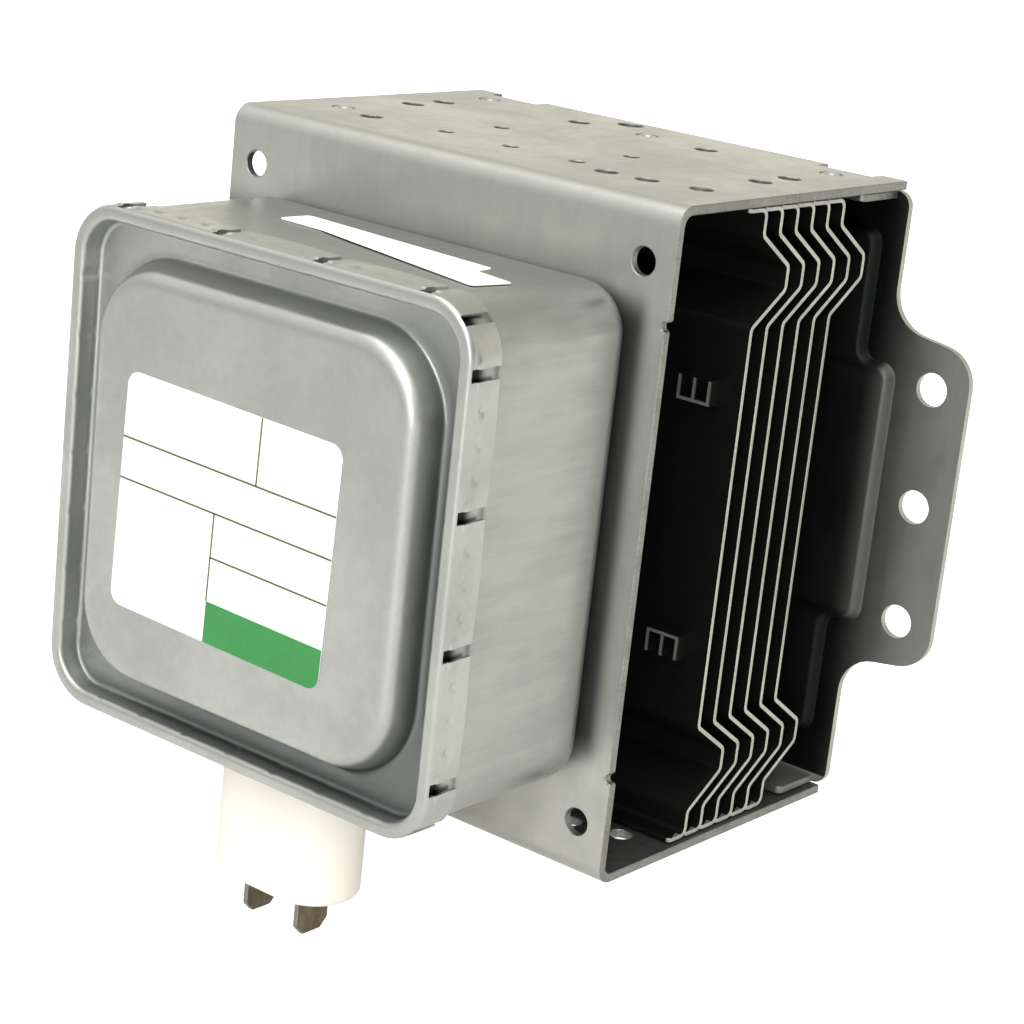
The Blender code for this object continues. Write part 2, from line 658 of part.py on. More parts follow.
def comb_outline(flip):
    """Outline of a three-pronged spacer seen from the front, above or below the axis."""
    half = SPACER_SHEET / 2
    spacer_x = FIN_WIDTH / 2 - SPACER_INSET
    rail = (SPACER_PITCH + half, SPACER_Z - SPACER_SHEET)
    outline = [(spacer_x - rail[0], rail[1]), (spacer_x + rail[0], rail[1])]
    for prong in (1, 0, -1):
        middle = spacer_x + prong * SPACER_PITCH
        if prong < 1:
            outline.append((middle + half, SPACER_Z))
        tip = SPACER_Z + SPACER_HEIGHT
        outline += [(middle + half, tip), (middle - half, tip)]
        if prong > -1:
            outline.append((middle - half, SPACER_Z))
    return [Vector((x, flip * z)) for x, z in outline]


def square_ring(half, corner, y, steps=BEND_STEPS):
    """A rounded square about the tube's axis, standing at a depth along it."""
    corners = [(half, -half, corner), (half, half, corner), (-half, half, corner),
               (-half, -half, corner)]
    return [place(point, y, "Y") for point in rounded_outline(corners, steps)]


def shell_rings(line, thickness, corner_at):
    """Rings round a drawn shell: down its outside and back up its inside."""
    outside = [point + normal * thickness / 2 for point, normal in line]
    inside = [point - normal * thickness / 2 for point, normal in line]
    return [square_ring(half, corner_at(half), y) for half, y in outside + inside[::-1]]


def make_filter_box():
    """Deep-drawn box with a rounded base, open in front, bored for the tube and the terminals."""
    wall = BOX_HALF - BOX_SHEET / 2
    base = BOX_FACE - BOX_SHEET / 2
    flat = BOX_HALF - BOX_BASE_FILLET * 2
    line = bent_path([(flat, base), (wall, base), (wall, BOX_RIM)],
                     BOX_BASE_FILLET - BOX_SHEET / 2, BEND_STEPS + 1)
    rings = shell_rings(line, BOX_SHEET, lambda half: BOX_CORNER - (BOX_HALF - half))
    box = lofted("filter_box", rings, "drawn_steel")
    drill_round(box, "box_bore", MAGNET_BORE, BOX_FACE - BOX_SHEET - OVERSHOOT,
                BOX_FACE + OVERSHOOT)
    opening = obround(CORE_LENGTH, CORE_WIDTH, 0.0, CONNECTOR_Y, 4)
    tool = prism("box_opening", opening, -BOX_HALF - OVERSHOOT,
                 -BOX_HALF + BOX_SHEET + OVERSHOOT, "Z")
    combine(box, tool, "DIFFERENCE")
    return box


def cover_corner(half):
    """Corner radius of the cover at a given distance from its middle."""
    if half < PLATFORM_FOOT:
        return PLATFORM_CORNER - (PLATFORM_FOOT - half)
    share = min((half - PLATFORM_FOOT) / (BOX_HALF - PLATFORM_FOOT), 1.0)
    rim_corner = BOX_CORNER + max(half - BOX_HALF, 0.0)
    return PLATFORM_CORNER * (1 - share) + rim_corner * share


def slot_places(inset, shift):
    """Middles of the slots along one side of the cover, evenly spaced between its corners."""
    reach = BOX_HALF - inset
    return [shift + reach * (2 * index / (SLOT_COUNT - 1) - 1) for index in range(SLOT_COUNT)]


def make_cover():
    """Pressed cover: raised middle, sunk margin, and a rim folded over the box's edge in tabs."""
    inner = BOX_HALF - BOX_SHEET - CRIMP_FIT - COVER_SHEET / 2
    outer = COVER_HALF - COVER_SHEET / 2
    front = COVER_FRONT + COVER_SHEET / 2
    margin = COVER_FRONT + RIM_DEPTH + COVER_SHEET / 2
    raised = PLATFORM_FACE + COVER_SHEET / 2
    top_edge = PLATFORM_FOOT - PLATFORM_DRAFT
    flat = PLATFORM_FOOT - PLATFORM_SHOULDER
    path = [(flat, raised), (top_edge, raised), (PLATFORM_FOOT, margin),
            (inner, margin), (inner, front), (outer, front), (outer, COVER_FRONT + SKIRT_DEPTH)]
    line = bent_path(path[:3] + [path[3]], PLATFORM_ROUND, BEND_STEPS)[:-1]
    fold = bent_path(path[2:], COVER_FOLD, BEND_STEPS - 1)[1:]
    rings = shell_rings(line + fold, COVER_SHEET, cover_corner)
    cover = lofted("filter_box_cover", rings, "drawn_steel")

    body = bmesh.new()
    near, far = COVER_FRONT - OVERSHOOT, COVER_FRONT + SKIRT_DEPTH + OVERSHOOT
    inside, outside = BOX_HALF - BOX_SHEET, COVER_HALF + OVERSHOOT
    for side in (-1, 1):
        span = sorted((side * inside, side * outside))
        for middle in slot_places(SIDE_SLOT_INSET, 0.0):
            add_box(body, (span[0], near, middle - SLOT_WIDTH / 2),
                    (span[1], far, middle + SLOT_WIDTH / 2))
        for middle in slot_places(TOP_SLOT_INSET, TOP_SLOT_SHIFT):
            add_box(body, (middle - SLOT_WIDTH / 2, near, span[0]),
                    (middle + SLOT_WIDTH / 2, far, span[1]))
    combine(cover, add_object("cover_slots", mesh_from("cover_slots", body)), "DIFFERENCE")
    return cover


def make_labels():
    """Plain paper labels on the cover's raised middle and on top of the box."""
    half_w, half_h = LABEL_WIDTH / 2, LABEL_HEIGHT / 2
    corners = [(-half_w, -half_h), (half_w, -half_h), (half_w, half_h), (-half_w, half_h)]
    turn = Matrix.Rotation(-LABEL_TURN, 2)
    outline = rounded_outline([(x, z, LABEL_CORNER) for x, z in corners])
    turned_outline = [turn @ point + Vector((LABEL_X, LABEL_Z)) for point in outline]
    back = PLATFORM_FACE - SKIN_FIT
    prism("cover_label", turned_outline, back - LABEL_SHEET, back, "Y", "paper_label")

    strips = rounded_outline([(x, y, BOX_LABEL_CORNER) for x, y in BOX_LABEL_POINTS])
    foot = BOX_HALF + SKIN_FIT
    prism("box_label", strips, foot, foot + LABEL_SHEET, "Z", "paper_label")


def blade_slots(name, start, end):
    """Tool that clears a slot round each terminal blade."""
    body = bmesh.new()
    for side in (-1, 1):
        middle = side * BLADE_PITCH / 2
        add_box(body, (middle - BLADE_SHEET / 2 - FIT, CONNECTOR_Y - BLADE_WIDTH / 2 - FIT, start),
                (middle + BLADE_SHEET / 2 + FIT, CONNECTOR_Y + BLADE_WIDTH / 2 + FIT, end))
    return add_object(name, mesh_from(name, body))


def housing_rings():
    """Rings of the connector's housing, from its rounded lower edge up to its flat top."""
    rings = []
    for step in range(BEND_STEPS + 1):
        turn = pi / 2 * step / BEND_STEPS
        inset = HOUSING_ROUND * (1 - sin(turn))
        outline = obround(HOUSING_LENGTH - 2 * inset, HOUSING_WIDTH - 2 * inset, 0.0, CONNECTOR_Y)
        height = HOUSING_BOTTOM + HOUSING_ROUND * (1 - cos(turn))
        rings.append([place(point, height, "Z") for point in outline])
    rings.append([place(point, HOUSING_TOP, "Z") for point in outline])
    return rings


def make_connector():
    """Moulded housing under the box, its plate and capacitor inside, and two push-on blades."""
    housing = lofted("connector_housing", housing_rings(), "white_moulding")
    flange_low = -BOX_HALF + BOX_SHEET + FIT
    flange_high = flange_low + CONNECTOR_FLANGE_SHEET
    flange = prism("connector_flange", obround(CONNECTOR_FLANGE_LENGTH, CONNECTOR_FLANGE_WIDTH,
                                               0.0, CONNECTOR_Y), flange_low, flange_high, "Z",
                   "zinc_plated_steel")
    core_low = flange_high + FIT
    core = prism("capacitor_body", obround(CORE_LENGTH, CORE_WIDTH, 0.0, CONNECTOR_Y), core_low,
                 core_low + CORE_HEIGHT, "Z", "white_moulding")
    for piece, low, high in ((housing, HOUSING_BOTTOM, HOUSING_TOP),
                             (flange, flange_low, flange_high),
                             (core, core_low, core_low + CORE_HEIGHT)):
        tool = blade_slots(f"{piece.name}_slots", low - OVERSHOOT, high + OVERSHOOT)
        combine(piece, tool, "DIFFERENCE")

    tail = core_low + CORE_HEIGHT + BLADE_TAIL
    half = BLADE_WIDTH / 2
    shape = [(half, tail), (-half, tail), (-half, BLADE_TIP + BLADE_CHAMFER),
             (-half + BLADE_CHAMFER, BLADE_TIP), (half - BLADE_CHAMFER, BLADE_TIP),
             (half, BLADE_TIP + BLADE_CHAMFER)]
    outline = [Vector((CONNECTOR_Y + y, z)) for y, z in shape]
    for name, side in (("terminal_blade_left", -1), ("terminal_blade_right", 1)):
        middle = side * BLADE_PITCH / 2
        prism(name, outline, middle - BLADE_SHEET / 2, middle + BLADE_SHEET / 2, "X",
              "tinned_brass")
    return tail


def smooth_run(start, start_way, end, end_way, count):
    """Points of a smooth curve that leaves one point and enters another in given directions."""
    points = []
    for step in range(count + 1):
        t = step / count
        blend = ((2 * t - 3) * t * t + 1, (3 - 2 * t) * t * t,
                 (t - 1) * (t - 1) * t, (t - 1) * t * t)
        points.append(start * blend[0] + end * blend[1] + start_way * blend[2] + end_way * blend[3])
    return points


def make_chokes(blade_tail):
    """Two choke coils on ferrite rods, each one wire from its blade to its cathode lead."""
    pin_y = -CATHODE_SLEEVE_REACH - STEM_CERAMIC_LENGTH - STEM_PIN_LENGTH
    around = 8
    radius = (CHOKE_CORE / 2 + FIT + CHOKE_WIRE / 2) / cos(pi / around)
    for name, side, pin_x in (("left", -1, 0.0), ("right", 1, SIDE_LEAD_X)):
        coil = []
        for step in range(CHOKE_TURNS * around + 1):
            turn = 2 * pi * step / around
            coil.append(Vector((side * (CHOKE_X - radius * cos(turn)),
                                CHOKE_Y + radius * sin(turn),
                                CHOKE_BOTTOM + CHOKE_PITCH * step / around)))
        blade = Vector((side * BLADE_PITCH / 2, CONNECTOR_Y,
                        blade_tail + FIT + CHOKE_WIRE / 2))
        pin = Vector((pin_x, pin_y - FIT - CHOKE_WIRE / 2, 0.0))
        rise = Vector((0.0, 0.0, CHOKE_PITCH))
        first_way = Vector((0.0, radius, CHOKE_PITCH))
        lead_in = smooth_run(blade, rise * 2, coil[0], first_way * 2, 5)[:-1]
        lead_out = smooth_run(coil[-1], first_way * 3, pin, Vector((0.0, radius * 2, 0.0)), 8)
        wire(f"choke_coil_{name}", lead_in + coil + lead_out[1:], CHOKE_WIRE, "copper")
        low = CHOKE_BOTTOM - CHOKE_CORE_OVERHANG
        high = CHOKE_BOTTOM + CHOKE_TURNS * CHOKE_PITCH + CHOKE_CORE_OVERHANG
        prism(f"choke_core_{name}", circle(side * CHOKE_X, CHOKE_Y, CHOKE_CORE / 2, HOLE_ROUND),
              low, high, "Z", "ferrite")


def make_magnets():
    """The two ferrite rings, in front of and behind the anode."""
    outer, inner, edge = MAGNET_DIAMETER / 2, MAGNET_BORE / 2, MAGNET_CHAMFER
    for name, start, thickness in (("front_magnet", FRONT_MAGNET_Y, FRONT_MAGNET_THICKNESS),
                                   ("rear_magnet", REAR_MAGNET_Y, REAR_MAGNET_THICKNESS)):
        end = start + thickness
        profile = [(inner, start), (outer - edge, start), (outer, start + edge),
                   (outer, end - edge), (outer - edge, end), (inner, end)]
        turned(name, profile, "ferrite", LARGE_ROUND)


def make_anode():
    """Copper barrel with ten radial vanes, between two dished pole pieces."""
    front = TUBE_FRONT + POLE_SHEET + FIT
    rear = TUBE_REAR - POLE_SHEET - FIT
    bore, outer = ANODE_BORE / 2, ANODE_DIAMETER / 2
    anode = turned("anode", [(bore, front), (outer, front), (outer, rear), (bore, rear)],
                   "copper", LARGE_ROUND)
    body = bmesh.new()
    for index in range(VANE_COUNT):
        turn = Matrix.Rotation(2 * pi * index / VANE_COUNT, 2)
        half = VANE_THICKNESS / 2
        ends = (VANE_TIP, (bore + outer) / 2)
        shape = [turn @ Vector(corner) for corner in
                 ((ends[0], -half), (ends[1], -half), (ends[1], half), (ends[0], half))]
        add_prism(body, shape, TUBE_MIDDLE - VANE_HEIGHT / 2, TUBE_MIDDLE + VANE_HEIGHT / 2, "Y")
    combine(anode, add_object("anode_vanes", mesh_from("anode_vanes", body)), "UNION")

    for name, face, way in (("front_pole_piece", TUBE_FRONT, 1), ("rear_pole_piece", TUBE_REAR, -1)):
        inward = [(outer, 0.0), (outer, POLE_SHEET), (POLE_RIM + POLE_SHEET, POLE_SHEET),
                  (POLE_MOUTH, POLE_SHEET + POLE_RISE), (POLE_HOLE, POLE_SHEET + POLE_RISE),
                  (POLE_HOLE, POLE_RISE), (POLE_MOUTH - POLE_SHEET / 2, POLE_RISE),
                  (POLE_RIM, 0.0)]
        profile = [(radius, face + way * depth) for radius, depth in inward]
        pole = turned(name, profile, "zinc_plated_steel", SMALL_ROUND)
        if way < 0:
            drill(pole, "antenna_passage", [(ANTENNA_LEAD_X, 0.0, LEAD_WIRE + 6 * FIT)],
                  TUBE_REAR - POLE_SHEET - POLE_RISE - OVERSHOOT, TUBE_REAR + OVERSHOOT, "Y")

    for end_name, way in (("front", -1), ("rear", 1)):
        near = TUBE_MIDDLE + way * (VANE_HEIGHT / 2 + FIT)
        far = near + way * STRAP_SECTION
        for ring_name, radius in (("inner", STRAP_INNER), ("outer", STRAP_OUTER)):
            profile = [(radius, near), (radius + STRAP_SECTION, near),
                       (radius + STRAP_SECTION, far), (radius, far)]
            turned(f"strap_ring_{end_name}_{ring_name}", profile, "copper", HOLE_ROUND)


def make_cathode():
    """Helical filament between two end hats, carried on two leads through the stem ceramic."""
    half = VANE_HEIGHT / 2 - FILAMENT_WIRE
    start, end = TUBE_MIDDLE - half, TUBE_MIDDLE + half
    radius = FILAMENT_DIAMETER / 2 - FILAMENT_WIRE / 2
    around = 6
    count = FILAMENT_TURNS * around
    coil = []
    for step in range(count + 1):
        turn = 2 * pi * step / around
        coil.append(Vector((radius * cos(turn), start + (end - start) * step / count,
                            radius * sin(turn))))
    wire("filament", coil, FILAMENT_WIRE, "tungsten")

    hat = END_HAT_DIAMETER / 2
    bore = LEAD_WIRE / 2 + FIT
    for name, near, way in (("front_end_hat", start, -1), ("rear_end_hat", end, 1)):
        face = near + way * (FILAMENT_WIRE / 2 + FIT)
        profile = [(bore, face), (hat, face), (hat, face + way * END_HAT_THICKNESS),
                   (bore, face + way * END_HAT_THICKNESS)]
        turned(name, profile, "tungsten", HOLE_ROUND)
    hat_front = start - FILAMENT_WIRE / 2 - FIT - END_HAT_THICKNESS
    hat_rear = end + FILAMENT_WIRE / 2 + FIT + END_HAT_THICKNESS

    ceramic_rear = -CATHODE_SLEEVE_REACH + FIT
    ceramic_front = ceramic_rear - STEM_CERAMIC_LENGTH
    pin_tip = ceramic_front - STEM_PIN_LENGTH
    prism("cathode_centre_lead", circle(0.0, 0.0, LEAD_WIRE / 2, 8), pin_tip,
          hat_rear + LEAD_WIRE, "Y", "tungsten")
    prism("cathode_side_lead", circle(SIDE_LEAD_X, 0.0, LEAD_WIRE / 2, 8), pin_tip,
          hat_front - FIT, "Y", "tungsten")

    tube = SLEEVE_DIAMETER / 2
    inside = tube - SLEEVE_SHEET
    flange = SLEEVE_FLANGE / 2
    seat = TUBE_FRONT - FIT
    profile = [(inside, -CATHODE_SLEEVE_REACH), (tube, -CATHODE_SLEEVE_REACH),
               (tube, seat - SLEEVE_SHEET), (flange, seat - SLEEVE_SHEET), (flange, seat),
               (inside, seat)]
    turned("cathode_sleeve", profile, "zinc_plated_steel", SMALL_ROUND)
    stem = inside - FIT
    shoulder = STEM_CERAMIC_LENGTH / 2
    ceramic = turned("stem_ceramic", [(0.0, ceramic_front), (stem - 2 * SLEEVE_SHEET, ceramic_front),
                                      (stem - SLEEVE_SHEET, ceramic_front + shoulder),
                                      (stem, ceramic_front + shoulder), (stem, ceramic_rear + shoulder),
                                      (0.0, ceramic_rear + shoulder)], "alumina", SMALL_ROUND)
    clear = LEAD_WIRE + 2 * FIT
    drill(ceramic, "stem_bores", [(0.0, 0.0, clear), (SIDE_LEAD_X, 0.0, clear)],
          ceramic_front - OVERSHOOT, ceramic_rear + shoulder + OVERSHOOT, "Y")


def make_output():
    """Output sleeve, insulator, exhaust tube and cap, with the lead and the gasket round them."""
    tube = SLEEVE_DIAMETER / 2
    inside = tube - SLEEVE_SHEET
    flange = SLEEVE_FLANGE / 2
    seat = TUBE_REAR + FIT
    neck = CERAMIC_BORE / 2
    profile = [(inside, seat), (flange, seat), (flange, seat + SLEEVE_SHEET),
               (tube, seat + SLEEVE_SHEET), (tube, OUTPUT_SLEEVE_END - CAP_ROUND),
               (CERAMIC_DIAMETER / 2, OUTPUT_SLEEVE_END), (neck, OUTPUT_SLEEVE_END),
               (neck, OUTPUT_SLEEVE_END - SLEEVE_SHEET),
               (CERAMIC_DIAMETER / 2 - SLEEVE_SHEET, OUTPUT_SLEEVE_END - SLEEVE_SHEET),
               (inside, OUTPUT_SLEEVE_END - CAP_ROUND - SLEEVE_SHEET)]
    turned("output_sleeve", profile, "zinc_plated_steel", SMALL_ROUND)

    ring = CERAMIC_DIAMETER / 2
    edge = SLEEVE_SHEET
    ceramic_end = CERAMIC_FRONT + CERAMIC_LENGTH
    turned("output_ceramic", [(neck, CERAMIC_FRONT), (ring - edge, CERAMIC_FRONT),
                              (ring, CERAMIC_FRONT + edge), (ring, ceramic_end - edge),
                              (ring - edge, ceramic_end), (neck, ceramic_end)], "alumina",
           SMALL_ROUND)

    cap = CAP_DIAMETER / 2
    bend = [Vector((cap, CAP_END)), Vector((cap - CAP_SHEET, CAP_END - CAP_SHEET))]
    outer = rounded_corner(Vector((cap, CAP_FRONT)), bend[0], Vector((0.0, CAP_END)),
                           CAP_ROUND, BEND_STEPS)
    inner = rounded_corner(Vector((cap - CAP_SHEET, CAP_FRONT)), bend[1],
                           Vector((0.0, CAP_END - CAP_SHEET)), CAP_ROUND - CAP_SHEET, BEND_STEPS)
    profile = [Vector((cap, CAP_FRONT))] + outer + [Vector((0.0, CAP_END)),
                                                    Vector((0.0, CAP_END - CAP_SHEET))]
    profile += inner[::-1] + [Vector((cap - CAP_SHEET, CAP_FRONT))]
    turned("antenna_cap", [tuple(point) for point in profile], "drawn_steel", SMALL_ROUND)

    stem = EXHAUST_DIAMETER / 2
    stem_bore = stem - EXHAUST_SHEET
    stem_start = ceramic_end + FIT
    stem_end = CAP_END - CAP_SHEET - CAP_ROUND / 2
    seal = cap - CAP_SHEET - FIT
    pinch = stem_end - CAP_ROUND
    turned("exhaust_tube", [(stem_bore, stem_start), (seal, stem_start),
                            (seal, stem_start + EXHAUST_SHEET), (stem, stem_start + EXHAUST_SHEET),
                            (stem, pinch), (LEAD_WIRE, stem_end), (0.0, stem_end), (0.0, pinch),
                            (stem_bore, pinch - CAP_ROUND)], "copper", SMALL_ROUND)

    vane_face = TUBE_MIDDLE + VANE_HEIGHT / 2 + FIT + STRAP_SECTION + FIT
    leave = Vector((ANTENNA_LEAD_X, TUBE_REAR + FIT, 0.0))
    reach = OUTPUT_SLEEVE_END - CAP_ROUND - TUBE_REAR
    centre = Vector((0.0, TUBE_REAR + reach, 0.0))
    way = Vector((0.0, reach, 0.0))
    bend_points = smooth_run(leave, way, centre, way, 8)
    line = [Vector((ANTENNA_LEAD_X, vane_face, 0.0))] + bend_points
    line.append(Vector((0.0, pinch - CAP_ROUND * (LEAD_WIRE / 2 + FIT) / stem_bore, 0.0)))
    wire("antenna_lead", line, LEAD_WIRE, "copper")

    inner_r = tube + FIT
    outer_r = GASKET_OUTER / 2
    start = RAISED_FACE + PLATE_SHEET + FIT
    end = start + GASKET_THICKNESS
    soft = GASKET_THICKNESS / 4
    turned("rf_gasket", [(inner_r, start), (outer_r - soft, start), (outer_r, start + soft),
                         (outer_r, end - soft), (outer_r - soft, end), (inner_r + soft, end),
                         (inner_r, end - soft)], "wire_mesh", SMALL_ROUND)


def main():
    clear_scene()
    stand_on_datum()
    make_yoke()
    make_mounting_plate()
    make_cooling_fins()
    make_filter_box()
    make_cover()
    make_labels()
    make_chokes(make_connector())
    make_magnets()
    make_anode()
    make_cathode()
    make_output()


main()
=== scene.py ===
"""Finishes and fine surfaces of an oven magnetron, in metres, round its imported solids.

Shapes are worked out in the tube's own frame: X to the right, Y back along the tube's axis from
the outer face of the yoke's web, Z up from that axis. `in_place` then moves them onto the frame.
"""

from math import atan2, cos, pi, radians, sin, tan

import bmesh
import bpy
import numpy as np
from bpy.props import FloatProperty, FloatVectorProperty, PointerProperty
from mathutils import Matrix, Vector
from mathutils.geometry import tessellate_polygon


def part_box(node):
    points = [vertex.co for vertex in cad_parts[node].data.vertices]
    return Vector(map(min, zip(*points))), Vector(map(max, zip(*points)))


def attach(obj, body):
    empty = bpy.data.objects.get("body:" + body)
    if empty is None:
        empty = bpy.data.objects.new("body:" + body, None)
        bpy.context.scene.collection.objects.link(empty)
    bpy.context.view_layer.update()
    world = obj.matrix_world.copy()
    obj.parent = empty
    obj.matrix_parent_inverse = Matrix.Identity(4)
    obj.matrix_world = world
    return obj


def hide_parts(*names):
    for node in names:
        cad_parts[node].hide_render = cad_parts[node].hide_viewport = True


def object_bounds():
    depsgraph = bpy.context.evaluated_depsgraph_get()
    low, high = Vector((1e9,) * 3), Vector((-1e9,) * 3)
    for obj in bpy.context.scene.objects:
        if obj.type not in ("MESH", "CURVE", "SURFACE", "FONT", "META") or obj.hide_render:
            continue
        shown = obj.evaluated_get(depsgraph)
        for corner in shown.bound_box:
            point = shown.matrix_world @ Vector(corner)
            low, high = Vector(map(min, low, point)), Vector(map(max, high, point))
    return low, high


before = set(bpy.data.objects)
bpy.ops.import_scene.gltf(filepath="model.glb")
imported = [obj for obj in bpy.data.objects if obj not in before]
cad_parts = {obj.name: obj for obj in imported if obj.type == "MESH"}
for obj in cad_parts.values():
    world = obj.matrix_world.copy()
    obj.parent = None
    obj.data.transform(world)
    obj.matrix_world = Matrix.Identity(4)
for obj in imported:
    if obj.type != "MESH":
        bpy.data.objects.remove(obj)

bl_info = {
    "name": "Oven magnetron",
    "version": (1, 0, 0),
    "blender": (4, 5, 0),
    "location": "View3D > Sidebar > Magnetron",
    "description": "Adds the finished pieces of an oven magnetron round its packed solids",
    "category": "Add Mesh",
}

CAD_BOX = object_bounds()
YOKE_LOW, YOKE_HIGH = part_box("yoke")
MAGNET_LOW, MAGNET_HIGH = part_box("front_magnet")
PLATE_LOW, PLATE_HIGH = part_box("mounting_plate")
BOX_LOW, BOX_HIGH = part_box("filter_box")
COVER_LOW, COVER_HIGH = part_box("filter_box_cover")
HOUSING_LOW, HOUSING_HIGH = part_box("connector_housing")
AXIS = Vector((0.0, YOKE_LOW.y, (MAGNET_LOW.z + MAGNET_HIGH.z) / 2))
FIN_COUNT = 6
SLOT_COUNT = 4
COOL_WHITE = (1.0, 1.0, 0.96, 1.0)
PLAIN_WHITE = (1.0, 1.0, 1.0, 1.0)


def length(label, about, value):
    """A length that a user may change."""
    return FloatProperty(name=label, description=about, default=value, unit="LENGTH", precision=5)


def colour(label, about, value):
    """A colour that a user may change."""
    return FloatVectorProperty(name=label, description=about, default=value, size=3,
                               subtype="COLOR", min=0.0, max=1.0)


class YokeSizes(bpy.types.PropertyGroup):
    """Sizes of the bent yoke, its holes and the mounting plate."""
    sheet: length("Yoke sheet", "Thickness of the yoke's sheet", 0.0013)
    bend: length("Yoke bend", "Outer radius of the yoke's two bends", 0.0028)
    edge: length("Punched edge", "Width of the worn edge round every cut", 0.00014)
    lip: length("Lip width", "Width of the web's side lips", 0.0026)
    lip_back: length("Lip set-back", "How far the web's side lips are bent back", 0.0001)
    notch: length("Lip notch", "Width of the notch at each end of a lip", 0.0012)
    lip_trim: length("Lip trim", "How far the web's side edge lies in from the flanges'", 0.0004)
    notch_depth: length("Notch depth", "Depth of the notch at each end of a lip", 0.0010)
    notch_inset: length("Notch inset", "Notch from the yoke's upper and lower face", 0.01575)
    slot_depth: length("Rear slot", "Depth of the slots in the flanges' rear edges", 0.0029)
    slot_inset: length("Slot inset", "Outer end of the rear slots from the yoke's side", 0.0046)
    slot_length: length("Slot length", "Length of the slots in the rear edges", 0.0089)
    corner_hole: length("Corner hole", "Diameter of the web's corner holes", 0.0038)
    large_hole: length("Large hole", "Diameter of the larger flange holes", 0.0033)
    small_hole: length("Small hole", "Diameter of the smaller flange holes", 0.0023)
    pilot_hole: length("Pilot hole", "Diameter of the hole near the rear edge", 0.0040)
    peg: length("Stake peg", "Diameter of the staked pegs", 0.0031)
    plate_sheet: length("Plate sheet", "Thickness of the mounting plate", 0.0011)
    plate_bore: length("Plate bore", "Diameter of the plate's hole round the output", 0.0201)
    plate_inset: length("Plate inset", "Plate's face from the flanges' rear edges", 0.0007)
    emboss: length("Plate relief", "Height of the plate's raised cross", 0.0015)
    ear_hole: length("Ear hole", "Diameter of the holes in the plate's ears", 0.0050)
    ear_pitch: length("Ear hole pitch", "Distance between two holes of an ear", 0.0176)


class BoxSizes(bpy.types.PropertyGroup):
    """Sizes of the filter box, its crimped cover and the labels."""
    box_sheet: length("Box sheet", "Thickness of the filter box's wall", 0.0005)
    box_corner: length("Box corner", "Corner radius of the filter box", 0.0068)
    base_round: length("Box base", "Radius between the box's base and its walls", 0.0028)
    cover_sheet: length("Cover sheet", "Thickness of the cover", 0.00045)
    fold: length("Fold radius", "Radius of the cover's fold over the box's edge", 0.00062)
    rim_depth: length("Rim depth", "Depth of the margin below the fold", 0.0035)
    platform_margin: length("Margin", "Foot of the raised middle from the box's wall", 0.00495)
    platform_draft: length("Wall slope", "How far the raised middle's wall leans in", 0.0018)
    platform_corner: length("Middle corner", "Corner radius of the raised middle", 0.0115)
    platform_round: length("Middle edge", "Radius of the raised middle's upper edge", 0.0021)
    slot_width: length("Slot width", "Width of the slots between the tabs", 0.0017)
    label_width: length("Label width", "Width of the cover's label", 0.0393)
    label_height: length("Label height", "Height of the cover's label", 0.0330)
    label_corner: length("Label corner", "Corner radius of the cover's label", 0.0020)
    strip_corner: length("Strip corner", "Corner radius of the box's strips", 0.0008)
    label_sheet: length("Label sheet", "Thickness of a label", 0.00012)
    rule: length("Rule width", "Width of the label's thin rules", 0.00030)


class FinSizes(bpy.types.PropertyGroup):
    """Sizes of the cooling fins."""
    sheet: length("Fin sheet", "Thickness of a fin", 0.0006)
    flange: length("Fin flange", "Length of a fin's end flange", 0.0038)
    neck: length("Fin neck", "Straight run below a flange", 0.0036)
    knee: length("Fin knee", "Start of the bulge from the flange", 0.0083)
    bulge_end: length("Bulge end", "End of the bulge from the flange", 0.0116)
    foot: length("Fin foot", "Where a fin comes back to its plane", 0.0164)
    bulge: length("Bulge depth", "How far a fin's bulge stands back", 0.0071)
    bend: length("Fin bend", "Radius of a fin's bends", 0.0011)
    spacer_pitch: length("Spacer pitch", "Distance between a spacer's prongs", 0.0025)
    spacer_height: length("Spacer height", "Height of a spacer's prongs", 0.0030)
    spacer_inset: length("Spacer inset", "Spacer's middle from the fin's side", 0.0062)
    spacer_place: length("Spacer place", "Spacer's root from the tube's axis", 0.0172)


class TubeSizes(bpy.types.PropertyGroup):
    """Sizes of the turned pieces and the terminals."""
    magnet_bore: length("Magnet bore", "Bore of the ring magnets", 0.0230)
    magnet_edge: length("Magnet edge", "Rounding of the magnets' edges", 0.0009)
    sleeve_sheet: length("Sleeve sheet", "Wall of the output sleeve", 0.0006)
    ceramic_bore: length("Ceramic bore", "Bore of the output ceramic", 0.0090)
    cap_sheet: length("Cap sheet", "Wall of the output cap", 0.0005)
    cap_round: length("Cap edge", "Radius of the cap's end", 0.0030)
    blade_sheet: length("Blade sheet", "Thickness of a terminal blade", 0.0008)
    blade_chamfer: length("Blade chamfer", "Chamfer of a blade's corners", 0.0014)
    housing_round: length("Housing edge", "Radius of the connector's lower edge", 0.0012)


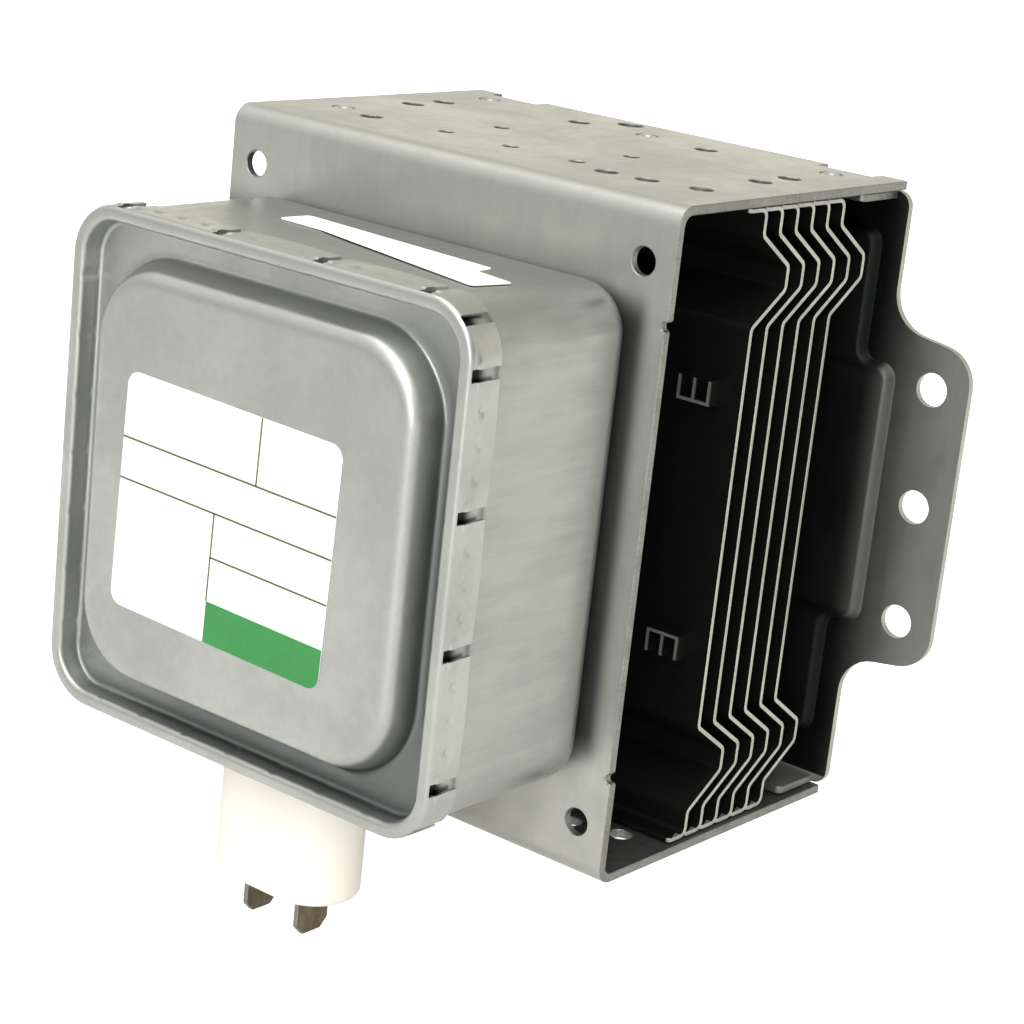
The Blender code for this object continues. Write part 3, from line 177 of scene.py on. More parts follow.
class Finishes(bpy.types.PropertyGroup):
    """Colours of the finishes."""
    zinc: colour("Zinc", "Light zones of the zinc plating", (0.475, 0.475, 0.445))
    zinc_dark: colour("Zinc, dark", "Dark zones of the zinc plating", (0.375, 0.382, 0.365))
    steel: colour("Drawn steel", "Light zones of the drawn steel", (0.455, 0.462, 0.440))
    steel_dark: colour("Drawn steel, dark", "Dark zones of the drawn steel", (0.375, 0.388, 0.372))
    # The inside colours are near black: painted shade on the yoke's inner faces.
    inside: colour("Inside", "Light zones of the yoke's inner faces", (0.10, 0.10, 0.10))
    inside_dark: colour("Inside, dark", "Dark zones of the inner faces", (0.018, 0.019, 0.018))
    fin_edge: colour("Fin edge", "Sheared edges of the fins", (0.52, 0.51, 0.48))
    cut_edge: colour("Cut edge", "Sheared edges of the sheets", (0.30, 0.30, 0.28))
    # The fin colours are near black: painted shade on the fins' aluminium.
    fin: colour("Fin aluminium", "Light zones of the fins", (0.034, 0.034, 0.033))
    fin_dark: colour("Fin aluminium, dark", "Dark zones of the fins", (0.012, 0.012, 0.012))
    ferrite: colour("Ferrite", "Light zones of the magnets", (0.022, 0.022, 0.024))
    ferrite_dark: colour("Ferrite, dark", "Dark zones of the magnets", (0.010, 0.010, 0.011))
    copper: colour("Copper", "Light zones of the copper", (0.82, 0.46, 0.32))
    copper_dark: colour("Copper, dark", "Dark zones of the copper", (0.60, 0.30, 0.20))
    brass: colour("Tinned brass", "Light zones of the blades", (0.25, 0.20, 0.13))
    brass_dark: colour("Tinned brass, dark", "Dark zones of the blades", (0.10, 0.08, 0.06))
    moulding: colour("Moulding", "The connector's white plastic", (0.87, 0.84, 0.77))
    moulding_dark: colour("Moulding, dark", "Dull zones of the plastic", (0.84, 0.80, 0.73))
    alumina: colour("Alumina", "Light zones of the ceramic", (0.88, 0.80, 0.78))
    alumina_dark: colour("Alumina, dark", "Dark zones of the ceramic", (0.80, 0.70, 0.68))
    tungsten: colour("Tungsten", "Light zones of the tungsten", (0.34, 0.34, 0.35))
    tungsten_dark: colour("Tungsten, dark", "Dark zones of the tungsten", (0.20, 0.20, 0.21))
    mesh_wire: colour("Gasket wire", "Light zones of the knitted gasket", (0.62, 0.60, 0.57))
    mesh_dark: colour("Gasket wire, dark", "Dark zones of the gasket", (0.20, 0.19, 0.18))
    paper: colour("Paper", "The labels' paper", (0.97, 0.962, 0.925))
    paper_dark: colour("Paper, dull", "Dull zones of the paper", (0.94, 0.93, 0.89))
    ink: colour("Rule ink", "The label's thin rules", (0.085, 0.12, 0.045))
    green: colour("Green ink", "The label's green block", (0.030, 0.235, 0.055))


class StageSizes(bpy.types.PropertyGroup):
    """The floor, the light and the camera."""
    floor_reach: length("Floor reach", "Radius of the floor", 1.6)
    lens: FloatProperty(name="Lens", description="Focal length on a 36 mm sensor", default=93.75)
    roll: FloatProperty(name="Roll", description="Turn of the camera about its view",
                        default=radians(6.227), subtype="ANGLE")
    floor_colour: colour("Floor", "Colour of the floor", (0.50, 0.50, 0.495))
    floor_glow: FloatProperty(name="Floor glow", description="Light that the floor gives", default=0.42)
    sky_colour: colour("Surroundings", "Colour of the room's soft light", (1.0, 0.975, 0.85))


def in_place(points):
    """Points of the tube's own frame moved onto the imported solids: each plus the axis's place."""
    return np.asarray(points, dtype=float) + np.array(AXIS)


def unit(vectors):
    """Vectors of length one: each row divided by its own length."""
    return vectors / np.maximum(np.linalg.norm(vectors, axis=-1, keepdims=True), 1e-12)


def arc(centre, radius, start, sweep, steps):
    """Points of an arc: its centre plus radius times cosine and sine of evenly spaced turns."""
    turn = start + sweep * np.linspace(0.0, 1.0, steps + 1)
    return np.array(centre) + radius * np.stack([np.cos(turn), np.sin(turn)], axis=1)


def circle(u, v, diameter, steps=32):
    """Closed loop about (u, v): an arc of a whole turn less its last point."""
    return arc((u, v), diameter / 2, 0.0, 2 * pi, steps)[:-1]


def corner_arc(before, corner, after, radius, steps):
    """Arc tangent to both sides of a corner, with the turn of the path along it.

    The arc starts radius times the tangent of half the turn before the corner, and its centre lies
    one radius to the side that the path turns to.
    """
    first, last = unit(corner - before), unit(after - corner)
    turn = atan2(first[0] * last[1] - first[1] * last[0], first @ last)
    side = 1.0 if turn > 0 else -1.0
    normal = np.array([-first[1], first[0]])
    start = corner - first * radius * tan(abs(turn) / 2)
    centre = start + side * radius * normal
    heading = atan2(*(start - centre)[::-1])
    return arc(centre, radius, heading, turn, steps), turn


def rounded_loop(corners, steps=8):
    """Closed loop through (u, v, radius) corners, each an arc tangent to both its sides."""
    flat = np.array([corner[:2] for corner in corners], dtype=float)
    rows = []
    for index, corner in enumerate(corners):
        if corner[2] <= 0:
            rows.append(flat[index:index + 1])
            continue
        after = flat[(index + 1) % len(flat)]
        rows.append(corner_arc(flat[index - 1], flat[index], after, corner[2], steps)[0])
    return np.concatenate(rows)


def bent_line(corners, radius, steps=8):
    """Middle line of a bent sheet: its lengths, points and left normals.

    Straight runs are joined by arcs of one radius. The length at each point is the sum of the
    chords before it, and the normal turns evenly along each arc.
    """
    flat = np.array(corners, dtype=float)
    first = unit(flat[1] - flat[0])
    points, normals = [flat[:1]], [np.array([[-first[1], first[0]]])]
    for before, corner, after in zip(flat, flat[1:], flat[2:]):
        bend, turn = corner_arc(before, corner, after, radius, steps)
        run = unit(corner - before)
        heading = atan2(run[1], run[0]) + pi / 2 + turn * np.linspace(0.0, 1.0, steps + 1)
        points.append(bend)
        normals.append(np.stack([np.cos(heading), np.sin(heading)], axis=1))
    last = unit(flat[-1] - flat[-2])
    points.append(flat[-1:])
    normals.append(np.array([[-last[1], last[0]]]))
    line = np.concatenate(points)
    lengths = np.concatenate([[0.0], np.cumsum(np.linalg.norm(np.diff(line, axis=0), axis=1))])
    return lengths, line, np.concatenate(normals)


def along(places, lengths, values):
    """Values of a line at given lengths along it, evenly between its points."""
    return np.stack([np.interp(places, lengths, column) for column in values.T], axis=-1)


def turned_way(loop, anticlockwise):
    """The loop run through in the asked direction, found from the sign of its area."""
    ahead = np.roll(loop, -1, axis=0)
    area = np.sum(loop[:, 0] * ahead[:, 1] - ahead[:, 0] * loop[:, 1])
    return loop if (area > 0) == anticlockwise else loop[::-1]


def drawn_in(loop, distance):
    """The loop moved to its left by a distance.

    Each point moves by the sum of the left normals before and after it, divided by one plus their
    product, so that both sides next to it move by the distance.
    """
    before = unit(loop - np.roll(loop, 1, axis=0))
    after = np.roll(before, -1, axis=0)
    left_before = np.stack([-before[:, 1], before[:, 0]], axis=1)
    left_after = np.stack([-after[:, 1], after[:, 0]], axis=1)
    sharpest = 0.3
    share = 1.0 + np.sum(left_before * left_after, axis=1, keepdims=True)
    return loop + distance * (left_before + left_after) / np.maximum(share, sharpest)


def filled(loops):
    """Triangles that fill the first loop less the others, as indices into all their points."""
    flat = [[Vector((u, v, 0.0)) for u, v in loop] for loop in loops]
    return [tuple(face) for face in tessellate_polygon(flat)]


def slab(outline, holes, thickness, edge, inner=0):
    """A flat sheet with holes as vertices (u, v, height), faces and rim marks.

    Each loop is carried down a profile: drawn in by the edge on the upper skin, full width between
    the two edges, and drawn in again on the lower skin. The skins fill the drawn-in loops, and the
    upper one takes the inner mark.
    """
    loops = [turned_way(outline, True)] + [turned_way(hole, False) for hole in holes]
    half = thickness / 2
    rows = ((edge, half), (0.0, half - edge), (0.0, edge - half), (edge, -half))
    levels = []
    for inset, height in rows:
        flat = np.concatenate([drawn_in(loop, inset) for loop in loops])
        levels.append(np.column_stack([flat, np.full(len(flat), height)]))
    count = len(levels[0])
    skin = filled([drawn_in(loop, edge) for loop in loops])
    faces = [tuple(face) for face in skin]
    faces += [tuple(3 * count + corner for corner in face[::-1]) for face in skin]
    rim_start = len(faces)
    start = 0
    for loop in loops:
        here = start + np.arange(len(loop))
        ahead = start + np.roll(np.arange(len(loop)), -1)
        for row in range(3):
            upper, lower = row * count, (row + 1) * count
            quads = np.stack([upper + here, lower + here, lower + ahead, upper + ahead], axis=1)
            faces += [tuple(quad) for quad in quads.tolist()]
        start += len(loop)
    marks = [inner] * len(skin) + [0] * len(skin) + [1] * (len(faces) - rim_start)
    return np.concatenate(levels), faces, marks


def sliced(mesh, axis, places):
    """Cut a mesh across by a plane at each place along an axis, so that it can bend there."""
    body = bmesh.new()
    body.from_mesh(mesh)
    way = Vector([float(axis == index) for index in range(3)])
    for position in places:
        bmesh.ops.bisect_plane(body, geom=body.verts[:] + body.edges[:] + body.faces[:],
                               dist=1e-7, plane_co=way * position, plane_no=way)
    body.to_mesh(mesh)
    body.free()
    return mesh


def mesh_points(mesh):
    """All vertices of a mesh as rows of (x, y, z)."""
    flat = np.empty(len(mesh.vertices) * 3)
    mesh.vertices.foreach_get("co", flat)
    return flat.reshape(-1, 3)


def face_rows(mesh, kind):
    """The "normal" or the "center" of every face of a mesh as rows of (x, y, z)."""
    flat = np.empty(len(mesh.polygons) * 3)
    mesh.polygons.foreach_get(kind, flat)
    return flat.reshape(-1, 3)


def carried(points, lengths, line, normals):
    """Flat points (x, length, height) bent with a sheet.

    Each one goes to the middle line's point at its length, plus its height times the line's
    normal there.
    """
    spots = along(points[:, 1], lengths, line)
    way = unit(along(points[:, 1], lengths, normals))
    return np.column_stack([points[:, 0], spots + way * points[:, 2:]])


def grid_faces(rows, columns, close_columns=True, first=0):
    """Quads between neighbouring rows of a grid of points, closed round if asked."""
    here = np.arange(columns if close_columns else columns - 1)
    ahead = (here + 1) % columns
    starts = first + columns * np.arange(rows - 1)[:, None]
    quads = np.stack([starts + here, starts + ahead, starts + columns + ahead,
                      starts + columns + here], axis=2)
    return [tuple(quad) for quad in quads.reshape(-1, 4).tolist()]


def mesh_of(name, vertices, faces, marks=None):
    """A mesh from points and faces, with a material mark for each face."""
    mesh = bpy.data.meshes.new(name)
    mesh.from_pydata(np.asarray(vertices).tolist(), [], faces)
    if marks is not None:
        mesh.polygons.foreach_set("material_index", marks)
    return mesh


def joined(meshes):
    """One mesh that holds several as separate bodies."""
    body = bmesh.new()
    for mesh in meshes:
        body.from_mesh(mesh)
    whole = bpy.data.meshes.new(meshes[0].name)
    body.to_mesh(whole)
    body.free()
    return whole


def cleaned(mesh, near=2e-7, thin=False):
    """The mesh with points nearer than a distance merged and its faces turned outward.

    If asked, edges and faces thinner than that distance go as well.
    """
    body = bmesh.new()
    body.from_mesh(mesh)
    bmesh.ops.remove_doubles(body, verts=body.verts, dist=near)
    if thin:
        bmesh.ops.dissolve_degenerate(body, edges=body.edges, dist=near)
    bmesh.ops.recalc_face_normals(body, faces=body.faces)
    body.to_mesh(mesh)
    body.free()
    return mesh


def evaluated(carrier):
    """A new mesh of an object with its modifier worked in; the object itself goes."""
    bpy.context.view_layer.update()
    graph = bpy.context.evaluated_depsgraph_get()
    shape = bpy.data.meshes.new_from_object(carrier.evaluated_get(graph))
    bpy.data.objects.remove(carrier)
    return shape


def piece(name, mesh, finishes, replaced, sharp=28.0):
    """Finish a piece and hand it to the frame.

    The mesh moves onto the solids, is cleaned, and is shaded smooth but for the edges that turn by
    more than the sharp angle in degrees. Its faces' marks count through the finishes.
    """
    mesh.vertices.foreach_set("co", in_place(mesh_points(mesh)).ravel())
    cleaned(mesh, thin=True)
    mesh.shade_smooth()
    mesh.set_sharp_from_angle(angle=radians(sharp))
    for label in finishes:
        mesh.materials.append(coated(label))
    added = bpy.data.objects.new(name, mesh)
    bpy.context.collection.objects.link(added)
    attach(added, "root")
    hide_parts(replaced)


def lathe(profile, steps=64):
    """A closed (radius, y) profile carried round Y.

    At each even turn, x is the radius times its cosine and z the radius times its sine.
    """
    flat = np.array(profile, dtype=float)
    turn = 2 * pi * np.arange(steps) / steps
    rings = np.stack([flat[:, :1] * np.cos(turn), flat[:, 1:] + 0 * turn,
                      flat[:, :1] * np.sin(turn)], axis=2)
    rings = np.concatenate([rings, rings[:1]])
    return mesh_of("turned", rings.reshape(-1, 3), grid_faces(len(rings), steps))


def softened(profile, radius, steps=3):
    """A closed profile whose corners are all rounded by one small radius."""
    return rounded_loop([(*point, radius) for point in profile], steps)


def bored(mesh, cutter):
    """The mesh less a cutter, both closed: what lies in the first and not in the second."""
    solid = bpy.data.objects.new("solid", cleaned(mesh, 1e-7))
    tool = bpy.data.objects.new("tool", cleaned(cutter, 1e-7))
    for each in (solid, tool):
        bpy.context.collection.objects.link(each)
    step = solid.modifiers.new("bore", "BOOLEAN")
    step.operation, step.solver, step.object = "DIFFERENCE", "EXACT", tool
    shape = evaluated(solid)
    bpy.data.objects.remove(tool)
    return shape


def solid_wall(mesh, sheet):
    """The surface with a wall of even thickness, half on either side; its rim is a cut edge."""
    cleaned(mesh)
    mesh.materials.append(None)
    mesh.materials.append(None)
    carrier = bpy.data.objects.new("carrier", mesh)
    bpy.context.collection.objects.link(carrier)
    wall = carrier.modifiers.new("wall", "SOLIDIFY")
    wall.thickness, wall.offset, wall.use_even_offset = sheet, 0.0, True
    wall.thickness_clamp = 0.0
    wall.material_offset_rim = 1
    shape = evaluated(carrier)
    shape.materials.clear()
    return shape


def painted(mesh, name, values):
    """Store a value for each point of a mesh, for its material to read."""
    layer = mesh.attributes.new(name, "FLOAT", "POINT")
    layer.data.foreach_set("value", np.asarray(values, dtype=float).ravel())


def new_group(name, inputs, outputs):
    """An empty shader node group with named sockets; returns the tree and its two ends."""
    tree = bpy.data.node_groups.new(name, "ShaderNodeTree")
    for label, kind, value in inputs:
        socket = tree.interface.new_socket(label, in_out="INPUT", socket_type=kind)
        socket.default_value = value
    for label, kind in outputs:
        tree.interface.new_socket(label, in_out="OUTPUT", socket_type=kind)
    return tree, tree.nodes.new("NodeGroupInput"), tree.nodes.new("NodeGroupOutput")


def node(tree, kind, values=None, **settings):
    """Add a node with settings and input values."""
    made = tree.nodes.new(kind)
    for label, value in settings.items():
        setattr(made, label, value)
    for label, value in (values or {}).items():
        made.inputs[label].default_value = value
    return made


def feed(tree, value, socket):
    """Link a socket to a value of another node, or set it to a fixed value."""
    if isinstance(value, bpy.types.NodeSocket):
        tree.links.new(value, socket)
    else:
        socket.default_value = value


def ramp(tree, source, low, high, start=0.0, end=1.0):
    """Map a value from one range to another and hold it at the ends.

    With t the share of the first range, the result runs by t squared times three less twice t.
    """
    step = node(tree, "ShaderNodeMapRange", interpolation_type="SMOOTHSTEP")
    for label, value in (("Value", source), ("From Min", low), ("From Max", high),
                         ("To Min", start), ("To Max", end)):
        feed(tree, value, step.inputs[label])
    return step.outputs["Result"]


def mixed(tree, factor, first, second):
    """Mix two colours: the first times one less the factor, plus the second times the factor."""
    step = node(tree, "ShaderNodeMix", data_type="RGBA")
    for socket, value in ((0, factor), (6, first), (7, second)):
        feed(tree, value, step.inputs[socket])
    return step.outputs[2]


def figured(tree, operation, first, second=None, clamp=False):
    """The outcome of one sum on one or two values, kept between none and one if asked."""
    step = node(tree, "ShaderNodeMath", operation=operation, use_clamp=clamp)
    feed(tree, first, step.inputs[0])
    if second is not None:
        feed(tree, second, step.inputs[1])
    return step.outputs["Value"]


def axes_apart(tree, place):
    """The X, Y and Z of a place, each as its own value."""
    apart = node(tree, "ShaderNodeSeparateXYZ")
    tree.links.new(place, apart.inputs[0])
    return apart.outputs


def object_place(tree):
    """The shaded point's place on its object."""
    return node(tree, "ShaderNodeTexCoord").outputs["Object"]


def skin_group():
    """Cloudy zones and a stretched grain, shared by every finish.

    A wide and a fine noise are each spread to none and one and mixed by the grain's share. The mix
    picks a colour between dark and light and a roughness between rough and smooth.
    """
    if "cloud_and_grain" in bpy.data.node_groups:
        return bpy.data.node_groups["cloud_and_grain"]
    tree, ends_in, ends_out = new_group(
        "cloud_and_grain",
        (("Light", "NodeSocketColor", (0.8, 0.8, 0.8, 1.0)),
         ("Dark", "NodeSocketColor", (0.5, 0.5, 0.5, 1.0)),
         ("Cloud Scale", "NodeSocketFloat", 60.0), ("Grain Scale", "NodeSocketFloat", 900.0),
         ("Stretch", "NodeSocketVector", (1.0, 1.0, 1.0)), ("Grain Share", "NodeSocketFloat", 0.4),
         ("Smooth", "NodeSocketFloat", 0.3), ("Rough", "NodeSocketFloat", 0.5)),
        (("Colour", "NodeSocketColor"), ("Roughness", "NodeSocketFloat"),
         ("Height", "NodeSocketFloat"), ("Cloud", "NodeSocketFloat")))
    links = tree.links
    place = object_place(tree)
    cloud = node(tree, "ShaderNodeTexNoise", {"Detail": 5.0, "Roughness": 0.62})
    links.new(place, cloud.inputs["Vector"])
    links.new(ends_in.outputs["Cloud Scale"], cloud.inputs["Scale"])
    stretch = node(tree, "ShaderNodeVectorMath", operation="MULTIPLY")
    links.new(place, stretch.inputs[0])
    links.new(ends_in.outputs["Stretch"], stretch.inputs[1])
    grain = node(tree, "ShaderNodeTexNoise", {"Detail": 4.0, "Roughness": 0.7})
    links.new(stretch.outputs["Vector"], grain.inputs["Vector"])
    links.new(ends_in.outputs["Grain Scale"], grain.inputs["Scale"])
    share = node(tree, "ShaderNodeMix", data_type="FLOAT")
    links.new(ends_in.outputs["Grain Share"], share.inputs[0])
    links.new(ramp(tree, cloud.outputs["Fac"], 0.34, 0.66), share.inputs[2])
    links.new(ramp(tree, grain.outputs["Fac"], 0.30, 0.70), share.inputs[3])
    blend = share.outputs[0]
    links.new(mixed(tree, blend, ends_in.outputs["Dark"], ends_in.outputs["Light"]),
              ends_out.inputs["Colour"])
    links.new(ramp(tree, blend, 0.0, 1.0, ends_in.outputs["Rough"], ends_in.outputs["Smooth"]),
              ends_out.inputs["Roughness"])
    links.new(grain.outputs["Fac"], ends_out.inputs["Height"])
    links.new(cloud.outputs["Fac"], ends_out.inputs["Cloud"])
    return tree


def speck_group():
    """Sparse small specks, for dust, pits and tiny bright marks.

    A speck is where a cell's middle is nearer than the size, less where a wide noise is low.
    """
    if "specks" in bpy.data.node_groups:
        return bpy.data.node_groups["specks"]
    tree, ends_in, ends_out = new_group(
        "specks", (("Scale", "NodeSocketFloat", 400.0), ("Size", "NodeSocketFloat", 0.12)),
        (("Mask", "NodeSocketFloat"),))
    place = object_place(tree)
    cells = node(tree, "ShaderNodeTexVoronoi", {"Randomness": 1.0})
    tree.links.new(place, cells.inputs["Vector"])
    tree.links.new(ends_in.outputs["Scale"], cells.inputs["Scale"])
    below = figured(tree, "SUBTRACT", ends_in.outputs["Size"], cells.outputs["Distance"], True)
    patch = node(tree, "ShaderNodeTexNoise", {"Scale": 55.0, "Detail": 1.0})
    tree.links.new(place, patch.inputs["Vector"])
    both = figured(tree, "MULTIPLY", ramp(tree, below, 0.0, 0.06),
                   ramp(tree, patch.outputs["Fac"], 0.48, 0.60), True)
    tree.links.new(both, ends_out.inputs["Mask"])
    return tree


def depth_group():
    """How far a point lies in from the yoke's open sides, one inside and none at the ears.

    The distance from the middle plane is mapped from start and end to none and one.
    """
    # Its mask places the painted shade on the plate's front between the yoke's flanges.
    if "depth_inside" in bpy.data.node_groups:
        return bpy.data.node_groups["depth_inside"]
    tree, ends_in, ends_out = new_group(
        "depth_inside", (("Start", "NodeSocketFloat", 0.052), ("End", "NodeSocketFloat", 0.038)),
        (("Mask", "NodeSocketFloat"),))
    away = figured(tree, "ABSOLUTE", axes_apart(tree, object_place(tree))["X"])
    mask = ramp(tree, away, ends_in.outputs["Start"], ends_in.outputs["End"])
    tree.links.new(mask, ends_out.inputs["Mask"])
    return tree


def beside_box_group():
    """Shade on the web in the corner beside the filter box, on the side away from the light.

    It falls off over its width from the box's wall, and is held to the box's height and to the
    web's front face by three more ramps, all multiplied.
    """
    if "beside_box" in bpy.data.node_groups:
        return bpy.data.node_groups["beside_box"]
    tree, ends_in, ends_out = new_group(
        "beside_box", (("Start", "NodeSocketFloat", BOX_HIGH.x + 0.0002),
                       ("Width", "NodeSocketFloat", 0.0026)), (("Mask", "NodeSocketFloat"),))
    place = axes_apart(tree, object_place(tree))
    across = figured(tree, "SUBTRACT", place["X"], ends_in.outputs["Start"])
    share = figured(tree, "DIVIDE", across, ends_in.outputs["Width"])
    mask = ramp(tree, share, 0.0, 1.0, 0.85, 0.0)
    top = ramp(tree, place["Z"], BOX_HIGH.z - 0.0050, BOX_HIGH.z + 0.0010, 1.0, 0.0)
    bottom = ramp(tree, place["Z"], BOX_LOW.z + 0.0020, BOX_LOW.z + 0.0080)
    web = ramp(tree, place["Y"], AXIS.y + 0.0002, AXIS.y + 0.0012, 1.0, 0.0)
    for other in (top, bottom, web):
        mask = figured(tree, "MULTIPLY", mask, other)
    tree.links.new(mask, ends_out.inputs["Mask"])
    return tree


SHADES = {"depth": depth_group, "beside": beside_box_group}


ROLLED = (1.0, 1.0, 0.16)
FINISHES = {
    # Zinc plating: soft grey zones, faint rolling lines, a few pale specks.
    "zinc_plated_steel": {
        "light": ("zinc", 1.0), "dark": ("zinc_dark", 1.0), "metallic": 0.92, "smooth": 0.34,
        "rough": 0.50, "cloud_scale": 48.0, "grain_scale": 420.0, "stretch": ROLLED,
        "grain_share": 0.35, "bump": 0.06, "specks": 0.05, "speck_colour": (0.86, 0.86, 0.83)},
    # The yoke's zinc plating, with its shade beside the filter box.
    "yoke_plate": {
        "light": ("zinc", 1.0), "dark": ("zinc_dark", 1.0), "metallic": 0.92, "smooth": 0.34,
        "rough": 0.50, "cloud_scale": 42.0, "grain_scale": 420.0, "stretch": ROLLED,
        "grain_share": 0.30, "bump": 0.06, "specks": 0.05, "speck_colour": (0.80, 0.80, 0.77),
        "shade": "beside", "shade_colour": (0.045, 0.050, 0.050)},
    # Bright drawn steel, brushed up and down.
    "drawn_steel": {
        "light": ("steel", 1.0), "dark": ("steel_dark", 1.0), "metallic": 0.92, "smooth": 0.27,
        "rough": 0.42, "cloud_scale": 70.0, "grain_scale": 520.0, "stretch": (1.0, 1.0, 0.10),
        "grain_share": 0.40, "bump": 0.04, "specks": 0.04, "speck_colour": (0.85, 0.85, 0.82)},
    # The cover's steel, with painted shade in the hollow round its raised middle.
    "lid_steel": {
        "light": ("steel", 1.0), "dark": ("steel_dark", 1.0), "metallic": 0.92, "smooth": 0.28,
        "rough": 0.44, "cloud_scale": 55.0, "grain_scale": 900.0, "grain_share": 0.30,
        "bump": 0.04, "specks": 0.05, "speck_colour": (0.80, 0.80, 0.78), "speck_scale": 700.0,
        "shade": "hollow", "shade_colour": (0.15, 0.162, 0.158)},
    # The box's steel, rubbed along its depth; its tones are the drawn steel's darkened as painted
    # shade, with painted shade under the folded rim and a painted shadow at the tabs' ends.
    "box_steel": {
        "light": ("steel", 0.86), "dark": ("steel_dark", 0.86), "metallic": 0.92, "smooth": 0.28,
        "rough": 0.42, "cloud_scale": 60.0, "grain_scale": 620.0, "stretch": (1.0, 0.10, 1.0),
        "grain_share": 0.50, "bump": 0.05, "specks": 0.04, "speck_colour": (0.80, 0.80, 0.76),
        "shade": "hollow", "shade_colour": (0.006, 0.006, 0.006)},
    # Sheared edge of a sheet: duller, with fine lines across its thickness.
    "cut_edge": {
        "light": ("cut_edge", 1.0), "dark": ("cut_edge", 0.6), "metallic": 0.85, "smooth": 0.38,
        "rough": 0.55, "cloud_scale": 200.0, "grain_scale": 2400.0, "grain_share": 0.6,
        "bump": 0.10},
    # The plate's front face: zinc at the ears, dark with painted shade between the flanges.
    "plate_front": {
        "light": ("zinc", 1.0), "dark": ("zinc_dark", 1.0), "metallic": 0.92, "smooth": 0.36,
        "rough": 0.50, "cloud_scale": 48.0, "grain_scale": 420.0, "stretch": ROLLED,
        "grain_share": 0.35, "bump": 0.06, "specks": 0.03, "speck_colour": (0.86, 0.86, 0.83),
        "shade": "depth"},
    # Inner faces of the yoke: the same plating, dull and darkened by painted shade.
    "inner_face": {
        "light": ("inside", 1.0), "dark": ("inside_dark", 1.0), "metallic": 0.6, "smooth": 0.45,
        "rough": 0.65, "cloud_scale": 48.0, "grain_scale": 420.0, "stretch": ROLLED,
        "grain_share": 0.35, "bump": 0.06},
    # Bright sheared edges of the fins.
    "fin_edge": {
        "light": ("fin_edge", 1.0), "dark": ("zinc_dark", 1.0), "metallic": 0.85, "smooth": 0.38,
        "rough": 0.55, "cloud_scale": 200.0, "grain_scale": 2400.0, "grain_share": 0.6,
        "bump": 0.10},
    # Rolled aluminium of the fins, darkened to near black by painted shade.
    "aluminium_fin": {
        "light": ("fin", 1.0), "dark": ("fin_dark", 1.0), "metallic": 0.9, "smooth": 0.36,
        "rough": 0.52, "cloud_scale": 90.0, "grain_scale": 700.0, "stretch": (0.12, 1.0, 1.0),
        "grain_share": 0.5, "bump": 0.08},
    # Sintered ferrite: dark, dull and finely pitted.
    "ferrite": {
        "light": ("ferrite", 1.0), "dark": ("ferrite_dark", 1.0), "metallic": 0.0, "smooth": 0.62,
        "rough": 0.80, "cloud_scale": 120.0, "grain_scale": 1500.0, "grain_share": 0.5,
        "bump": 0.25, "specks": 0.10, "speck_colour": (0.16, 0.16, 0.17)},
    # Brazed copper with darker, tarnished zones.
    "copper": {
        "light": ("copper", 1.0), "dark": ("copper_dark", 1.0), "metallic": 1.0, "smooth": 0.26,
        "rough": 0.45, "cloud_scale": 140.0, "grain_scale": 900.0},
    # Dull tinned brass of the terminal blades, stained brown and rubbed lengthways.
    "tinned_brass": {
        "light": ("brass", 1.0), "dark": ("brass_dark", 1.0), "metallic": 0.85, "smooth": 0.34,
        "rough": 0.55, "cloud_scale": 260.0, "grain_scale": 900.0, "stretch": (1.0, 1.0, 0.2),
        "grain_share": 0.5, "bump": 0.10, "specks": 0.10, "speck_colour": (0.10, 0.08, 0.06),
        "speck_scale": 900.0},
    # Creamy moulded plastic with a faint orange-peel.
    "white_moulding": {
        "light": ("moulding", 1.0), "dark": ("moulding_dark", 1.0), "metallic": 0.0,
        "smooth": 0.36, "rough": 0.50, "cloud_scale": 40.0, "grain_scale": 700.0,
        "grain_share": 0.2, "bump": 0.05, "specks": 0.035, "speck_colour": (0.45, 0.40, 0.33),
        "coat": 0.15, "speck_scale": 300.0},
    # Pinkish fired ceramic.
    "alumina": {
        "light": ("alumina", 1.0), "dark": ("alumina_dark", 1.0), "metallic": 0.0, "smooth": 0.45,
        "rough": 0.62, "cloud_scale": 150.0, "grain_scale": 1400.0, "bump": 0.08},
    # Grey drawn tungsten.
    "tungsten": {
        "light": ("tungsten", 1.0), "dark": ("tungsten_dark", 1.0), "metallic": 1.0,
        "smooth": 0.35, "rough": 0.55, "cloud_scale": 300.0, "grain_scale": 1500.0},
    # Knitted wire of the gasket: fine loops, with painted shade as dark gaps between bright wires.
    "wire_mesh": {
        "light": ("mesh_wire", 1.0), "dark": ("mesh_dark", 1.0), "metallic": 0.9, "smooth": 0.34,
        "rough": 0.60, "cloud_scale": 900.0, "grain_scale": 2600.0, "grain_share": 0.5,
        "bump": 0.9},
    # Smooth label paper.
    "paper_label": {
        "light": ("paper", 1.0), "dark": ("paper_dark", 1.0), "metallic": 0.0, "smooth": 0.50,
        "rough": 0.62, "cloud_scale": 60.0, "grain_scale": 1600.0, "grain_share": 0.3,
        "bump": 0.03},
    # Dark olive ink of the rules.
    "rule_ink": {
        "light": ("ink", 1.0), "dark": ("ink", 0.9), "metallic": 0.0, "smooth": 0.50,
        "rough": 0.62, "cloud_scale": 300.0, "grain_scale": 1600.0},
    # Green ink of the block, slightly uneven.
    "green_ink": {
        "light": ("green", 1.0), "dark": ("green", 0.86), "metallic": 0.0, "smooth": 0.48,
        "rough": 0.60, "cloud_scale": 120.0, "grain_scale": 1600.0},
}


